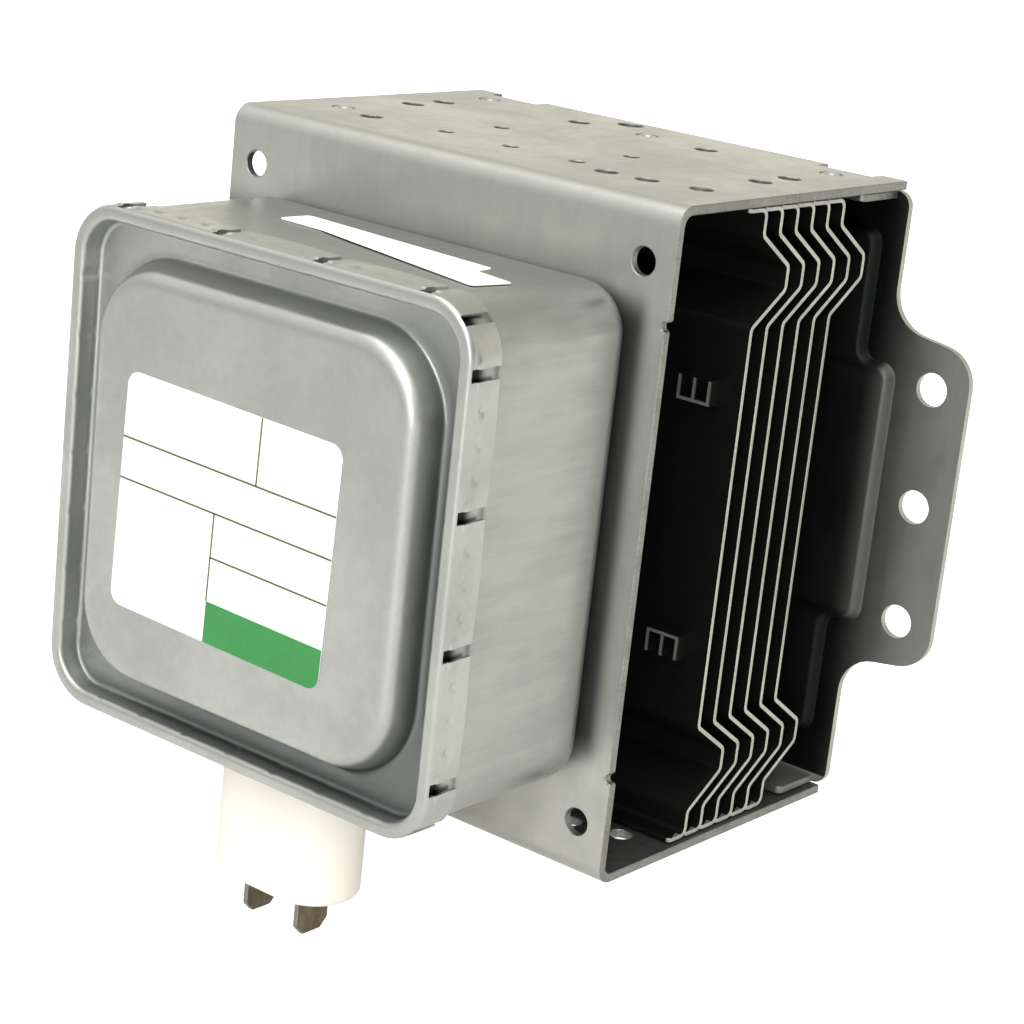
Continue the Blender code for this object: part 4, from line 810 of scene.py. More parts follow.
def coated(label):
    """The material of one finish, made once; each of its two tones is a panel colour times a share."""
    name = f"{label}_finish"
    if name in bpy.data.materials:
        return bpy.data.materials[name]
    look = dict(FINISHES[label])
    tones = bpy.context.scene.magnetron_finishes
    light, dark = (tuple(share * part for part in getattr(tones, tone))
                   for tone, share in (look.pop("light"), look.pop("dark")))
    return finish(name, light, dark, **look)


# The default shade colour is the near black of the painted shade on the plate's front.
def finish(name, light, dark, metallic, smooth, rough, cloud_scale, grain_scale,
           stretch=(1.0, 1.0, 1.0), grain_share=0.4, bump=0.05, specks=None, speck_colour=None,
           speck_scale=420.0, coat=0.0, shade=None, shade_colour=(0.012, 0.014, 0.013)):
    """A material from the shared groups.

    The skin's tone is mixed with the specks' colour by their mask, and then with the shade's colour
    by the shade's mask, which is a group of its own or a value stored at the mesh's points.
    """
    made = bpy.data.materials.new(name)
    made.use_nodes = True
    tree = made.node_tree
    shader = tree.nodes["Principled BSDF"]
    shader.inputs["Metallic"].default_value = metallic
    shader.inputs["Coat Weight"].default_value = coat
    skin = node(tree, "ShaderNodeGroup",
                {"Light": (*light, 1.0), "Dark": (*dark, 1.0), "Cloud Scale": cloud_scale,
                 "Grain Scale": grain_scale, "Stretch": stretch, "Grain Share": grain_share,
                 "Smooth": smooth, "Rough": rough}, node_tree=skin_group())
    tone = skin.outputs["Colour"]
    if specks:
        marks = node(tree, "ShaderNodeGroup", {"Scale": speck_scale, "Size": specks},
                     node_tree=speck_group())
        tone = mixed(tree, marks.outputs["Mask"], tone, (*speck_colour, 1.0))
    if shade in SHADES:
        mask = node(tree, "ShaderNodeGroup", node_tree=SHADES[shade]()).outputs["Mask"]
        tone = mixed(tree, mask, tone, (*shade_colour, 1.0))
    elif shade:
        mask = node(tree, "ShaderNodeAttribute", attribute_name=shade).outputs["Fac"]
        tone = mixed(tree, mask, tone, (*shade_colour, 1.0))
    tree.links.new(tone, shader.inputs["Base Color"])
    tree.links.new(skin.outputs["Roughness"], shader.inputs["Roughness"])
    relief = node(tree, "ShaderNodeBump", {"Strength": bump, "Distance": 0.0002})
    tree.links.new(skin.outputs["Height"], relief.inputs["Height"])
    tree.links.new(relief.outputs["Normal"], shader.inputs["Normal"])
    return made


def flange_holes(sizes, half_width, plate_face):
    """Holes of one flange, as (x, y, diameter).

    Columns are counted from the middle or in from the yoke's side. Rows are counted back from the
    web or forward from the plate. All but the first four holes stand on both sides of the middle.
    """
    large, small = sizes.large_hole, sizes.small_hole
    front_row, small_row = 0.0127, 0.0142
    holes = [(half_width - 0.0213, front_row - (small_row - front_row) / 2, large),
             (-0.0074, plate_face - 0.0028, sizes.pilot_hole), (0.0, small_row, small),
             (0.0, plate_face - 0.0085, large)]
    for side in (-1, 1):
        holes += [(side * (half_width - 0.0150), front_row, large),
                  (side * (half_width - 0.0075), front_row + 0.0021, large),
                  (side * 0.0118, plate_face - 0.0099, large),
                  (side * (half_width - 0.0082), plate_face - 0.0072, large)]
        for row in range(2):
            holes += [(side * 0.0119, small_row + row * 0.0124, small),
                      (side * (half_width - 0.0081), 0.0296 + row * 0.0072, large)]
    return holes


class MAGNETRON_OT_yoke(bpy.types.Operator):
    """Add the bent and punched yoke"""
    bl_idname = "magnetron.add_yoke"
    bl_label = "Yoke"

    def execute(self, context):
        """Cut a flat pattern with its holes and bend it along a U-shaped middle line.

        Lengths run along that line from the upper flange's rear edge to the lower one's. The web's
        side lips go back smoothly, by three times the square less twice the cube of their share.
        """
        sizes = context.scene.magnetron_yoke
        half_width = YOKE_HIGH.x
        height = YOKE_HIGH.z - YOKE_LOW.z
        drop = (YOKE_HIGH.z + YOKE_LOW.z) / 2 - AXIS.z
        reach = YOKE_HIGH.y - AXIS.y
        plate_face = reach - sizes.plate_inset
        web = sizes.sheet / 2
        middle = height / 2 - web
        corners = [(reach, middle + drop), (web, middle + drop),
                   (web, drop - middle), (reach, drop - middle)]
        lengths, line, normals = bent_line(corners, sizes.bend - web, 10)
        total, centre = lengths[-1], lengths[-1] / 2
        notch_out = height / 2 - sizes.notch_inset + sizes.notch / 2
        notch_in = notch_out - sizes.notch
        lip = half_width - sizes.lip
        slot_to = half_width - sizes.slot_inset
        slot_from = slot_to - sizes.slot_length
        floor = half_width - sizes.notch_depth
        soft, tiny, step = sizes.notch * 0.42, 0.0004, 0.0001
        right = [(slot_from, 0.0, tiny), (slot_from, sizes.slot_depth, tiny),
                 (slot_to, sizes.slot_depth, tiny), (slot_to, step, tiny),
                 (half_width, step, tiny)]
        for place in (centre - notch_out, centre - notch_in):
            edge = half_width if place < centre - notch_in else half_width - sizes.lip_trim
            pair = [(edge, place, tiny), (floor, place, soft)]
            right += pair if place < centre - notch_in else pair[::-1]
        lower = [(u, total - v, radius) for u, v, radius in right[::-1]]
        side = right + lower
        outline = rounded_loop(side + [(-u, v, radius) for u, v, radius in side[::-1]], 6)
        holes = [circle(0.0, centre, context.scene.magnetron_tube.magnet_bore, 64)]
        for x, y, diameter in flange_holes(sizes, half_width, plate_face):
            for place in (reach - y, total - (reach - y)):
                holes.append(circle(x, place, diameter))
        corner_x, corner_z = half_width - 0.0050, height / 2 - 0.0080
        for x in (-corner_x, corner_x):
            for z in (-corner_z, corner_z):
                holes.append(circle(x, centre - z, sizes.corner_hole))
        # The upper skin becomes the yoke's inside once bent; its mark takes the inner finish, which is
        # painted shade.
        flat = mesh_of("yoke", *slab(outline, holes, sizes.sheet, sizes.edge, 2))
        mesh = sliced(flat, 1, lengths[1:-1])
        knees = np.linspace(lip + 0.0003, half_width - 0.0006, 5)
        sliced(mesh, 0, np.concatenate([knees, -knees]))
        points = mesh_points(mesh)
        bent = carried(points, lengths, line, normals)
        share = np.clip((np.abs(points[:, 0]) - knees[0]) / (knees[-1] - knees[0]), 0.0, 1.0)
        share = share * share * (3 - 2 * share)
        inner = np.abs(points[:, 1] - centre) < (notch_out + notch_in) / 2
        bent[:, 1] += np.where(inner, sizes.lip_back * share, 0.0)
        mesh.vertices.foreach_set("co", bent.ravel())
        piece("yoke_sheet", mesh, ("yoke_plate", "cut_edge", "inner_face"), "yoke")
        return {"FINISHED"}


def cross_loop(half_x, trunk_z):
    """Outline of the plate's raised cross: an upright trunk with an arm to each side.

    Its left arm is a tenth of a millimetre wider than the right one, so that no two steps line up.
    """
    skew = 0.0001
    arm_x, arm_z = half_x + 0.0014, 0.0194
    trunk_x = half_x - 0.0040
    right = [(arm_x, -arm_z), (arm_x, arm_z), (trunk_x, arm_z), (trunk_x, trunk_z)]
    left = [(-trunk_x, trunk_z), (-trunk_x, arm_z + skew), (-arm_x, arm_z + skew),
            (-arm_x, -arm_z - skew), (-trunk_x, -arm_z - skew), (-trunk_x, -trunk_z)]
    return right + left + [(trunk_x, -trunk_z), (trunk_x, -arm_z)]


class MAGNETRON_OT_plate(bpy.types.Operator):
    """Add the mounting plate with its raised cross, ears, flanges and staked pegs"""
    bl_idname = "magnetron.add_plate"
    bl_label = "Mounting plate"

    def execute(self, context):
        """Build the middle surface of rim, wall and raised cross, and give it its thickness.

        The wall's rings are the cross drawn in step by step. They rise by three times the square
        less twice the cube of their share. Flanges and pegs are bodies of their own.
        """
        sizes = context.scene.magnetron_yoke
        sheet = sizes.plate_sheet
        back = PLATE_HIGH.y - AXIS.y
        middle = back - sheet / 2
        drop = (YOKE_HIGH.z + YOKE_LOW.z) / 2 - AXIS.z
        half = YOKE_HIGH.x + 0.0010
        ear = PLATE_HIGH.x
        top = (YOKE_HIGH.z - YOKE_LOW.z) / 2 - sizes.sheet - 0.0003
        root_z, ear_z, hole_x = 0.0256, 0.0235, ear - 0.0060
        corner, root_round, ear_round = 0.0022, 0.0060, 0.0055
        edges = [(half, top + drop, corner), (half, root_z, root_round), (ear, ear_z, ear_round),
                 (ear, -ear_z, ear_round), (half, -root_z, root_round), (half, drop - top, corner)]
        outline = rounded_loop(edges + [(-x, z, radius) for x, z, radius in edges[::-1]], 8)
        holes = [circle(side * hole_x, row * sizes.ear_pitch, sizes.ear_hole)
                 for side in (-1, 1) for row in (-1, 0, 1)]
        trunk = (YOKE_HIGH.z - YOKE_LOW.z) / 2 - 0.00865
        corners = cross_loop(half, trunk)
        base = turned_way(rounded_loop([(x, z, corner) for x, z in corners], 8), True)
        share = np.linspace(0.0, 1.0, 9)
        insets = 0.0013 * share - 0.0004
        rises = sizes.emboss * share * share * (3 - 2 * share)
        rings = [drawn_in(base, inset) for inset in insets]
        bore = turned_way(circle(0.0, 0.0, sizes.plate_bore, 64), False)
        rim_loops = [turned_way(outline, True)] + [turned_way(hole, False) for hole in holes]
        rim_loops.append(turned_way(rings[0], False))
        rim = np.concatenate(rim_loops)
        crown = np.concatenate([rings[-1], bore])
        walls = np.concatenate(rings)
        vertices = [np.column_stack([rim[:, 0], np.full(len(rim), middle), rim[:, 1]])]
        depth = np.repeat(middle - rises, len(base))
        vertices.append(np.column_stack([walls[:, 0], depth, walls[:, 1]]))
        vertices.append(np.column_stack([crown[:, 0], np.full(len(crown), middle - sizes.emboss),
                                         crown[:, 1]]))
        faces = filled(rim_loops)
        first = len(rim)
        faces += grid_faces(len(rings), len(base), True, first)
        first += len(walls)
        faces += [tuple(first + corner for corner in face)
                  for face in filled([rings[-1], bore])]
        mesh = mesh_of("plate", np.concatenate(vertices), faces)
        parts = [solid_wall(mesh, sheet)]
        flange_x, flange_end, flange_root = 0.0388, middle - 0.0095, middle - sheet * 0.4
        flange = rounded_loop([(-flange_x, flange_end, 0.001), (flange_x, flange_end, 0.001),
                               (flange_x, flange_root, 0.0), (-flange_x, flange_root, 0.0)])
        for flange_z in (sheet / 2 - top, top - sheet / 2):
            points, faces, marks = slab(flange, [], sheet, 0.0001)
            points[:, 2] += flange_z + drop
            parts.append(mesh_of("flange", points, faces, marks))
        parts += self.pegs(sizes, YOKE_HIGH.y - AXIS.y - sizes.plate_inset, drop)
        whole = joined(parts)
        self.mark_front(whole)
        piece("mounting_plate_sheet", whole, ("zinc_plated_steel", "cut_edge", "plate_front"),
              "mounting_plate")
        return {"FINISHED"}

    def mark_front(self, mesh):
        """Give the faces that look forward, or from a flange onto the fins, the finish with painted
        shade.
        """
        marks = np.empty(len(mesh.polygons), dtype=np.int32)
        mesh.polygons.foreach_get("material_index", marks)
        normals, height = face_rows(mesh, "normal"), face_rows(mesh, "center")[:, 2]
        forward = normals[:, 1] < -0.15
        forward |= (normals[:, 2] * np.sign(height) < -0.5) & (np.abs(height) > 0.030)
        near = np.abs(height) < YOKE_HIGH.z - AXIS.z - 0.0014
        shaded = (marks == 0) & forward & near
        mesh.polygons.foreach_set("material_index", np.where(shaded, 2, marks))

    def pegs(self, sizes, plate_face, drop):
        """Staked pegs in the yoke's flanges, each turned from a dome's section with a dimple."""
        reach = (YOKE_HIGH.z - YOKE_LOW.z) / 2
        places = [(side * (YOKE_HIGH.x - 0.0082), plate_face - 0.0072) for side in (-1, 1)]
        places += [(0.0, plate_face - 0.0085), (0.0075 - YOKE_HIGH.x, 0.0148)]
        radius = np.array([0.0, 0.2, 0.4, 0.6, 0.8, 0.92, 1.0, 1.0]) * sizes.peg / 2
        rise = np.array([-0.55, -0.5, -0.3, -0.08, -0.05, -0.12, -0.3, -1.6]) * 0.001
        turn = 2 * pi * np.arange(24) / 24
        shapes = []
        for x, y in places:
            for side in (-1, 1):
                rings = np.stack([x + radius[:, None] * np.cos(turn),
                                  y + radius[:, None] * np.sin(turn),
                                  side * (reach + rise)[:, None] + drop + 0 * turn], axis=2)
                shapes.append(mesh_of("peg", rings.reshape(-1, 3), grid_faces(len(radius), 24)))
        return shapes


class MAGNETRON_OT_fins(bpy.types.Operator):
    """Add the six zigzag cooling fins with their collars and spacers"""
    bl_idname = "magnetron.add_fins"
    bl_label = "Cooling fins"

    def execute(self, context):
        """Add the fins one behind the other, each in its own solid's place."""
        sizes = context.scene.magnetron_fins
        for index in range(1, FIN_COUNT + 1):
            low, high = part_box(f"cooling_fin_{index}")
            self.fin(sizes, index, low, high)
        return {"FINISHED"}

    def fin(self, sizes, index, low, high):
        """One fin: a flat pattern with a round hole, bent along a zigzag, with its collar.

        Its sheet sways forward and back by a product of two slow waves, one along each side.
        """
        half = high.x
        drop = (high.z + low.z) / 2 - AXIS.z
        top = (high.z - low.z) / 2 - sizes.sheet / 2
        main_y = high.y - AXIS.y - sizes.bulge - sizes.sheet / 2
        upper = [(main_y - sizes.flange, top), (main_y, top), (main_y, top - sizes.neck),
                 (main_y + sizes.bulge, top - sizes.knee),
                 (main_y + sizes.bulge, top - sizes.bulge_end), (main_y, top - sizes.foot)]
        path = [(y, z + drop) for y, z in upper] + [(y, drop - z) for y, z in upper[::-1]]
        lengths, line, normals = bent_line(path, sizes.bend, 6)
        total = lengths[-1]
        centre = total / 2 + drop
        corner = 0.0006
        outline = rounded_loop([(-half, 0.0, corner), (half, 0.0, corner), (half, total, corner),
                                (-half, total, corner)], 4)
        bore, stand_off, collar_sheet = 0.0193, 0.0029, 0.0005
        hole = circle(0.0, centre, 2 * bore, 64)
        flat = mesh_of("fin", *slab(outline, [hole], sizes.sheet, 0.00006))
        mesh = sliced(flat, 1, lengths[1:-1])
        points = mesh_points(mesh)
        bent = carried(points, lengths, line, normals)
        sway = np.sin(points[:, 0] / half * 2.2 + index) * np.sin(points[:, 1] / total * pi)
        bent[:, 1] += 0.00012 * sway
        mesh.vertices.foreach_set("co", bent.ravel())
        at_side = np.abs(face_rows(mesh, "center")[:, 0]) > half - 0.0005
        mesh.polygons.foreach_set("material_index", at_side.astype(np.int32))
        outer, front = bore + collar_sheet, main_y - stand_off
        collar = lathe(softened([(bore, front), (outer, front), (outer, main_y), (bore, main_y)],
                                0.0001, 2))
        parts = [mesh, collar]
        for flip in (-1, 1):
            points, faces, marks = slab(self.comb(sizes, half, flip), [], stand_off, 0.00008)
            placed = np.column_stack([points[:, 0], points[:, 2] + main_y - 0.0015, points[:, 1]])
            parts.append(mesh_of("comb", placed, faces, [1 - mark for mark in marks]))
        # The fins' faces take the aluminium darkened by painted shade; their sides and spacers take the
        # edge finish.
        piece(f"fin_sheet_{index}", joined(parts), ("aluminium_fin", "fin_edge"),
              f"cooling_fin_{index}")

    def comb(self, sizes, half, flip):
        """Outline of a three-pronged spacer: a rail with prongs at an even pitch."""
        web = 0.0003
        middle_x = half - sizes.spacer_inset
        rail = sizes.spacer_pitch + web
        root = sizes.spacer_place
        points = [(middle_x - rail, root - 2 * web), (middle_x + rail, root - 2 * web)]
        for prong in (1, 0, -1):
            middle = middle_x + prong * sizes.spacer_pitch
            if prong < 1:
                points.append((middle + web, root))
            points += [(middle + web, root + sizes.spacer_height),
                       (middle - web, root + sizes.spacer_height)]
            if prong > -1:
                points.append((middle - web, root))
        return np.array([(x, flip * z) for x, z in points])


def square_rings(halves, corner_radii, depths, stations, reach, arc_steps):
    """Rings of a rounded square, one for each half width, at their depths along Y.

    Each side has the given stations between its corners, kept in place where the straight part is
    as long as `reach` and drawn together where it is shorter, and each corner is an even arc.
    """
    halves, corner_radii = np.asarray(halves), np.asarray(corner_radii)
    straight = halves - corner_radii
    scale = np.where(straight < reach - 0.0006, straight / reach, 1.0)
    side_u = np.clip(stations[None, :] * scale[:, None], -straight[:, None], straight[:, None])
    turn = np.linspace(0.0, pi / 2, arc_steps + 1)[1:-1]
    corner_u = straight[:, None] + corner_radii[:, None] * np.cos(turn)
    corner_v = straight[:, None] + corner_radii[:, None] * np.sin(turn)
    along_u = np.concatenate([np.broadcast_to(halves[:, None], side_u.shape), corner_u], axis=1)
    along_v = np.concatenate([side_u, corner_v], axis=1)
    rings = []
    for quarter in range(4):
        c, s = round(cos(quarter * pi / 2)), round(sin(quarter * pi / 2))
        rings.append(np.stack([c * along_u - s * along_v, s * along_u + c * along_v], axis=2))
    flat = np.concatenate(rings, axis=1)
    depth = np.broadcast_to(np.asarray(depths)[:, None], flat.shape[:2])
    return np.stack([flat[..., 0], depth, flat[..., 1]], axis=2)


class MAGNETRON_OT_box(bpy.types.Operator):
    """Add the deep-drawn filter box"""
    bl_idname = "magnetron.add_box"
    bl_label = "Filter box"

    def execute(self, context):
        """Carry the box's section round a rounded square, give it its wall and cut its opening.

        The floor runs evenly from a round hole to the first ring. The walls sink in by a bell curve
        over their depth times one less the square of the share across them.
        """
        sizes = context.scene.magnetron_box
        sheet = sizes.box_sheet
        half = BOX_HIGH.x - sheet / 2
        base = BOX_HIGH.y - AXIS.y - sheet / 2
        rim = BOX_LOW.y - AXIS.y
        bore = context.scene.magnetron_tube.magnet_bore / 2
        bend = bent_line([(half - 0.006, base), (half, base), (half, rim)], sizes.base_round, 8)[1]
        wall = np.linspace(bend[-2, 1], rim, 56)[1:]
        halves = np.concatenate([bend[:-1, 0], np.full(len(wall), half)])
        depths = np.concatenate([bend[:-1, 1], wall])
        corner = np.maximum(sizes.box_corner - (BOX_HIGH.x - halves), 0.0008)
        reach = half - sizes.box_corner
        stations = np.linspace(-reach, reach, 25)
        rings = square_rings(halves, corner, depths, stations, reach, 12)
        span = rings[0]
        share = np.linspace(0.0, 1.0, 8)[:-1, None, None]
        round_part = span / np.maximum(np.hypot(span[:, 0], span[:, 2])[:, None], 1e-6)
        hole = np.stack([round_part[:, 0] * bore, span[:, 1], round_part[:, 2] * bore], axis=1)
        floor = hole[None] * (1 - share) + span[None] * share
        surface = np.concatenate([floor, rings])
        sag = 0.00010 * np.exp(-((surface[..., 1] - (base + rim) / 2) / 0.010) ** 2)
        along_side = np.minimum(np.abs(surface[..., 0]), np.abs(surface[..., 2]))
        sag = sag * np.clip(1 - (along_side / reach) ** 2, 0.0, 1.0)
        on_wall = (np.arange(len(surface)) >= len(floor) + len(bend) - 1)[:, None]
        way = np.where(np.abs(surface[..., :1]) > np.abs(surface[..., 2:]),
                       np.array([1.0, 0.0, 0.0]), np.array([0.0, 0.0, 1.0])) * np.sign(surface)
        surface = surface - np.where(on_wall[..., None], sag[..., None] * way, 0.0)
        mesh = mesh_of("box", surface.reshape(-1, 3), grid_faces(len(surface), surface.shape[1]))
        # Painted shade under the cover's fold, and a painted contact shadow where the tabs end.
        under = np.clip((rim + 0.0034 - surface[..., 1]) / 0.0017, 0.0, 1.0)
        tab_end = COVER_HIGH.y - AXIS.y + 0.0003
        contact = 0.55 * np.exp(-((surface[..., 1] - tab_end) / 0.0005) ** 2)
        painted(mesh, "hollow", np.maximum(under * under * (3 - 2 * under), contact))
        shell = solid_wall(mesh, sheet)
        middle_y = (HOUSING_LOW.y + HOUSING_HIGH.y) / 2 - AXIS.y
        loop = obround(0.0180, 0.0100, 10) + np.array([0.0, middle_y])
        cutter = self.cutter(loop, -half - 0.003, -half + 0.003)
        piece("filter_box_shell", bored(shell, cutter), ("box_steel", "cut_edge"), "filter_box")
        return {"FINISHED"}

    def cutter(self, loop, low, high):
        """A closed prism along Z over a loop."""
        count = len(loop)
        levels = np.concatenate([np.column_stack([loop, np.full(count, low)]),
                                 np.column_stack([loop, np.full(count, high)])])
        faces = grid_faces(2, count) + [tuple(range(count))[::-1], tuple(range(count, 2 * count))]
        return mesh_of("cutter", levels, faces)


def obround(long, wide, steps=16):
    """Closed loop with straight long sides along u and half-round ends."""
    reach = (long - wide) / 2
    right = arc((reach, 0.0), wide / 2, -pi / 2, pi, steps)
    return np.concatenate([right, arc((-reach, 0.0), wide / 2, pi / 2, pi, steps)])


class MAGNETRON_OT_cover(bpy.types.Operator):
    """Add the pressed cover with its rim folded over the box in tabs"""
    bl_idname = "magnetron.add_cover"
    bl_label = "Crimped cover"

    def execute(self, context):
        """Carry the cover's section round rounded squares, open its slots and give it its wall.

        The corner radius runs evenly from the raised middle's own to the box's. The hollow's shade
        is how far a point lies below the fold, times how far it lies to the lower right.
        """
        sizes = context.scene.magnetron_box
        sheet = sizes.cover_sheet
        outer = COVER_HIGH.x - sheet / 2
        inner = BOX_HIGH.x - sizes.box_sheet - 0.0004 - sheet / 2
        raised = COVER_LOW.y - AXIS.y + sheet / 2
        skirt_end = COVER_HIGH.y - AXIS.y
        front = BOX_LOW.y - AXIS.y - 0.0004 - sheet / 2
        margin = front + sizes.rim_depth
        foot = BOX_HIGH.x - sizes.platform_margin
        top_edge = foot - sizes.platform_draft
        path = [(foot - 0.0100, raised), (top_edge, raised), (foot, margin), (inner, margin),
                (inner, front), (outer, front), (outer, skirt_end)]
        rounds = (sizes.platform_round, 0.0012, 0.0009, sizes.fold, sizes.fold)
        line = self.profile(path, rounds)
        halves, depths = line[:, 0], line[:, 1]
        foot_share = np.clip((halves - foot) / (BOX_HIGH.x - foot), 0.0, 1.0)
        rim_corner = sizes.box_corner + halves - BOX_HIGH.x
        inner_corner = sizes.platform_corner - (foot - halves)
        corner = np.where(halves < foot, inner_corner,
                          inner_corner * (1 - foot_share) + rim_corner * foot_share)
        corner = np.maximum(np.where(halves > inner - 0.0012, rim_corner, corner), 0.0005)
        reach = outer - sizes.box_corner - (outer - BOX_HIGH.x)
        stations, slot_marks = self.stations(sizes, reach)
        arc_steps = 16
        rings = square_rings(halves, corner, depths, stations, reach, arc_steps)
        middle = self.crown(rings[0], raised)
        surface = np.concatenate([middle, rings])
        surface = self.worked(surface, inner, outer, front, margin, len(middle))
        count = surface.shape[1]
        on_skirt = (halves > outer - 1e-5) & (depths > front + sizes.fold)
        fold_row = len(middle) + int(np.argmax(on_skirt))
        faces = grid_faces(len(surface), count)
        corner_marks = np.isin(np.arange(arc_steps - 1), (arc_steps // 2 - 2, arc_steps // 2 - 1))
        slots = np.tile(np.concatenate([slot_marks, corner_marks]), 4)
        kept = [face for number, face in enumerate(faces)
                if not (number // count >= fold_row - 3 and slots[number % count])]
        kept.append(tuple(range(count)))
        mesh = mesh_of("cover", surface.reshape(-1, 3), kept)
        # Painted shade in the hollow below the fold, strongest to the lower right, away from the light.
        sunk = np.clip((surface[..., 1] - front - 0.0004) / (margin - front - 0.0008), 0.0, 1.0)
        sunk[len(middle) + int(np.argmax(halves > outer - 0.0004)):] = 0.0
        lee = np.clip((surface[..., 0] - surface[..., 2]) / 0.060 + 0.5, 0.0, 1.0)
        painted(mesh, "hollow", sunk * sunk * (3 - 2 * sunk) * lee * lee * (3 - 2 * lee))
        loose = bmesh.new()
        loose.from_mesh(mesh)
        bmesh.ops.delete(loose, geom=[vert for vert in loose.verts if not vert.link_faces],
                         context="VERTS")
        loose.to_mesh(mesh)
        loose.free()
        shell = solid_wall(mesh, sheet)
        piece("filter_box_lid", shell, ("lid_steel", "cut_edge"), "filter_box_cover",
              32.0)
        return {"FINISHED"}

    def profile(self, path, rounds):
        """The cover's section: straight runs with a rounding of its own at each corner."""
        flat = np.array(path)
        rows = [flat[:1]]
        for index, radius in enumerate(rounds, start=1):
            rows.append(corner_arc(flat[index - 1], flat[index], flat[index + 1], radius, 7)[0])
        skirt = np.linspace(rows[-1][-1, 1], flat[-1, 1], 10)[1:]
        rows.append(np.column_stack([np.full(len(skirt), flat[-1, 0]), skirt]))
        line = np.concatenate(rows)
        fine = [line[:1]]
        for start, end in zip(line, line[1:]):
            steps = max(1, int(np.ceil(np.linalg.norm(end - start) / 0.0005)))
            fine.append(start + (end - start) * np.linspace(0.0, 1.0, steps + 1)[1:, None])
        return np.concatenate(fine)

    def stations(self, sizes, reach):
        """Places along a side, even but for exact edges at the slots, and which gaps are slots."""
        even = np.linspace(-reach, reach, 113)
        half = sizes.slot_width / 2
        first = BOX_HIGH.x - 0.00785
        middles = np.linspace(-first, first, SLOT_COUNT)
        edges = np.concatenate([middles - half, middles + half])
        edges = edges[np.abs(edges) < reach]
        clear = np.all(np.abs(even[:, None] - edges[None, :]) > 0.00018, axis=1)
        places = np.sort(np.concatenate([even[clear], edges]))
        gaps = np.append((places[1:] + places[:-1]) / 2, reach + 1.0)
        marks = np.any(np.abs(gaps[:, None] - middles[None, :]) < half, axis=1)
        return places, marks

    def crown(self, ring, raised):
        """Rings that close the raised middle: the first ring times ever smaller even shares."""
        share = np.linspace(0.06, 1.0, 14)[:-1]
        rings = ring[None] * np.array([1.0, 0.0, 1.0]) * share[:, None, None]
        rings[..., 1] = raised
        return rings

    def worked(self, surface, inner, outer, front, margin, first):
        """Marks of the press, each a bell curve across its line times one along it.

        They are a soft dome, dimples and a slight flare in the skirt's tabs, curled ends beside
        the slots, and ribs in the inner wall.
        """
        x, y, z = surface[..., 0], surface[..., 1], surface[..., 2]
        reach = np.maximum(np.abs(x), np.abs(z))
        dome = np.clip(1 - (reach / 0.0275) ** 4, 0.0, 1.0)
        shaped = surface.copy()
        shaped[..., 1] -= 0.00010 * dome
        on_x = np.abs(x) > np.abs(z)
        side = np.where(on_x, z, x)
        sign = np.where(on_x, np.sign(x), np.sign(z))
        skirt = np.clip((reach - (outer - 0.0003)) / 0.0002, 0.0, 1.0) * (y > front + 0.0012)
        wave = np.zeros_like(side)
        pitch, rib_pitch = 0.0180, 0.0084
        phase = np.mod(side - pitch / 2, pitch)
        for place, depth in ((0.0045, 1.0), (0.0088, 0.8), (0.0133, 1.0)):
            wave += depth * np.exp(-((phase - place) / 0.0006) ** 2)
        band = np.exp(-((y - (front + 0.0028)) / 0.0006) ** 2)
        press = -0.00036 * wave * band * skirt
        flare = 0.00022 * skirt * np.clip((y - front - 0.0030) / 0.0025, 0.0, 1.0)
        flare = flare * (0.6 + 0.4 * np.cos(2 * pi * side / pitch))
        slot = np.abs(np.mod(side, pitch) - pitch / 2)
        curl = np.exp(-((slot - 0.0013) / 0.0008) ** 2)
        curl *= np.exp(-((y - front - 0.0018) / 0.0012) ** 2)
        flare += 0.00030 * skirt * curl
        wall = np.clip(1 - np.abs(reach - inner) / 0.0004, 0.0, 1.0) * (y < margin - 0.0006)
        beside_rib = np.mod(side + rib_pitch / 2, rib_pitch) - rib_pitch / 2
        ribs = np.exp(-beside_rib ** 2 / 0.00035 ** 2)
        move = press + flare + 0.00016 * ribs * wall
        outside_crown = (np.arange(len(surface)) >= first)[:, None]
        move = np.where(outside_crown, move, 0.0) * sign
        shaped[..., 0] += np.where(on_x, move, 0.0)
        shaped[..., 2] += np.where(on_x, 0.0, move)
        return shaped


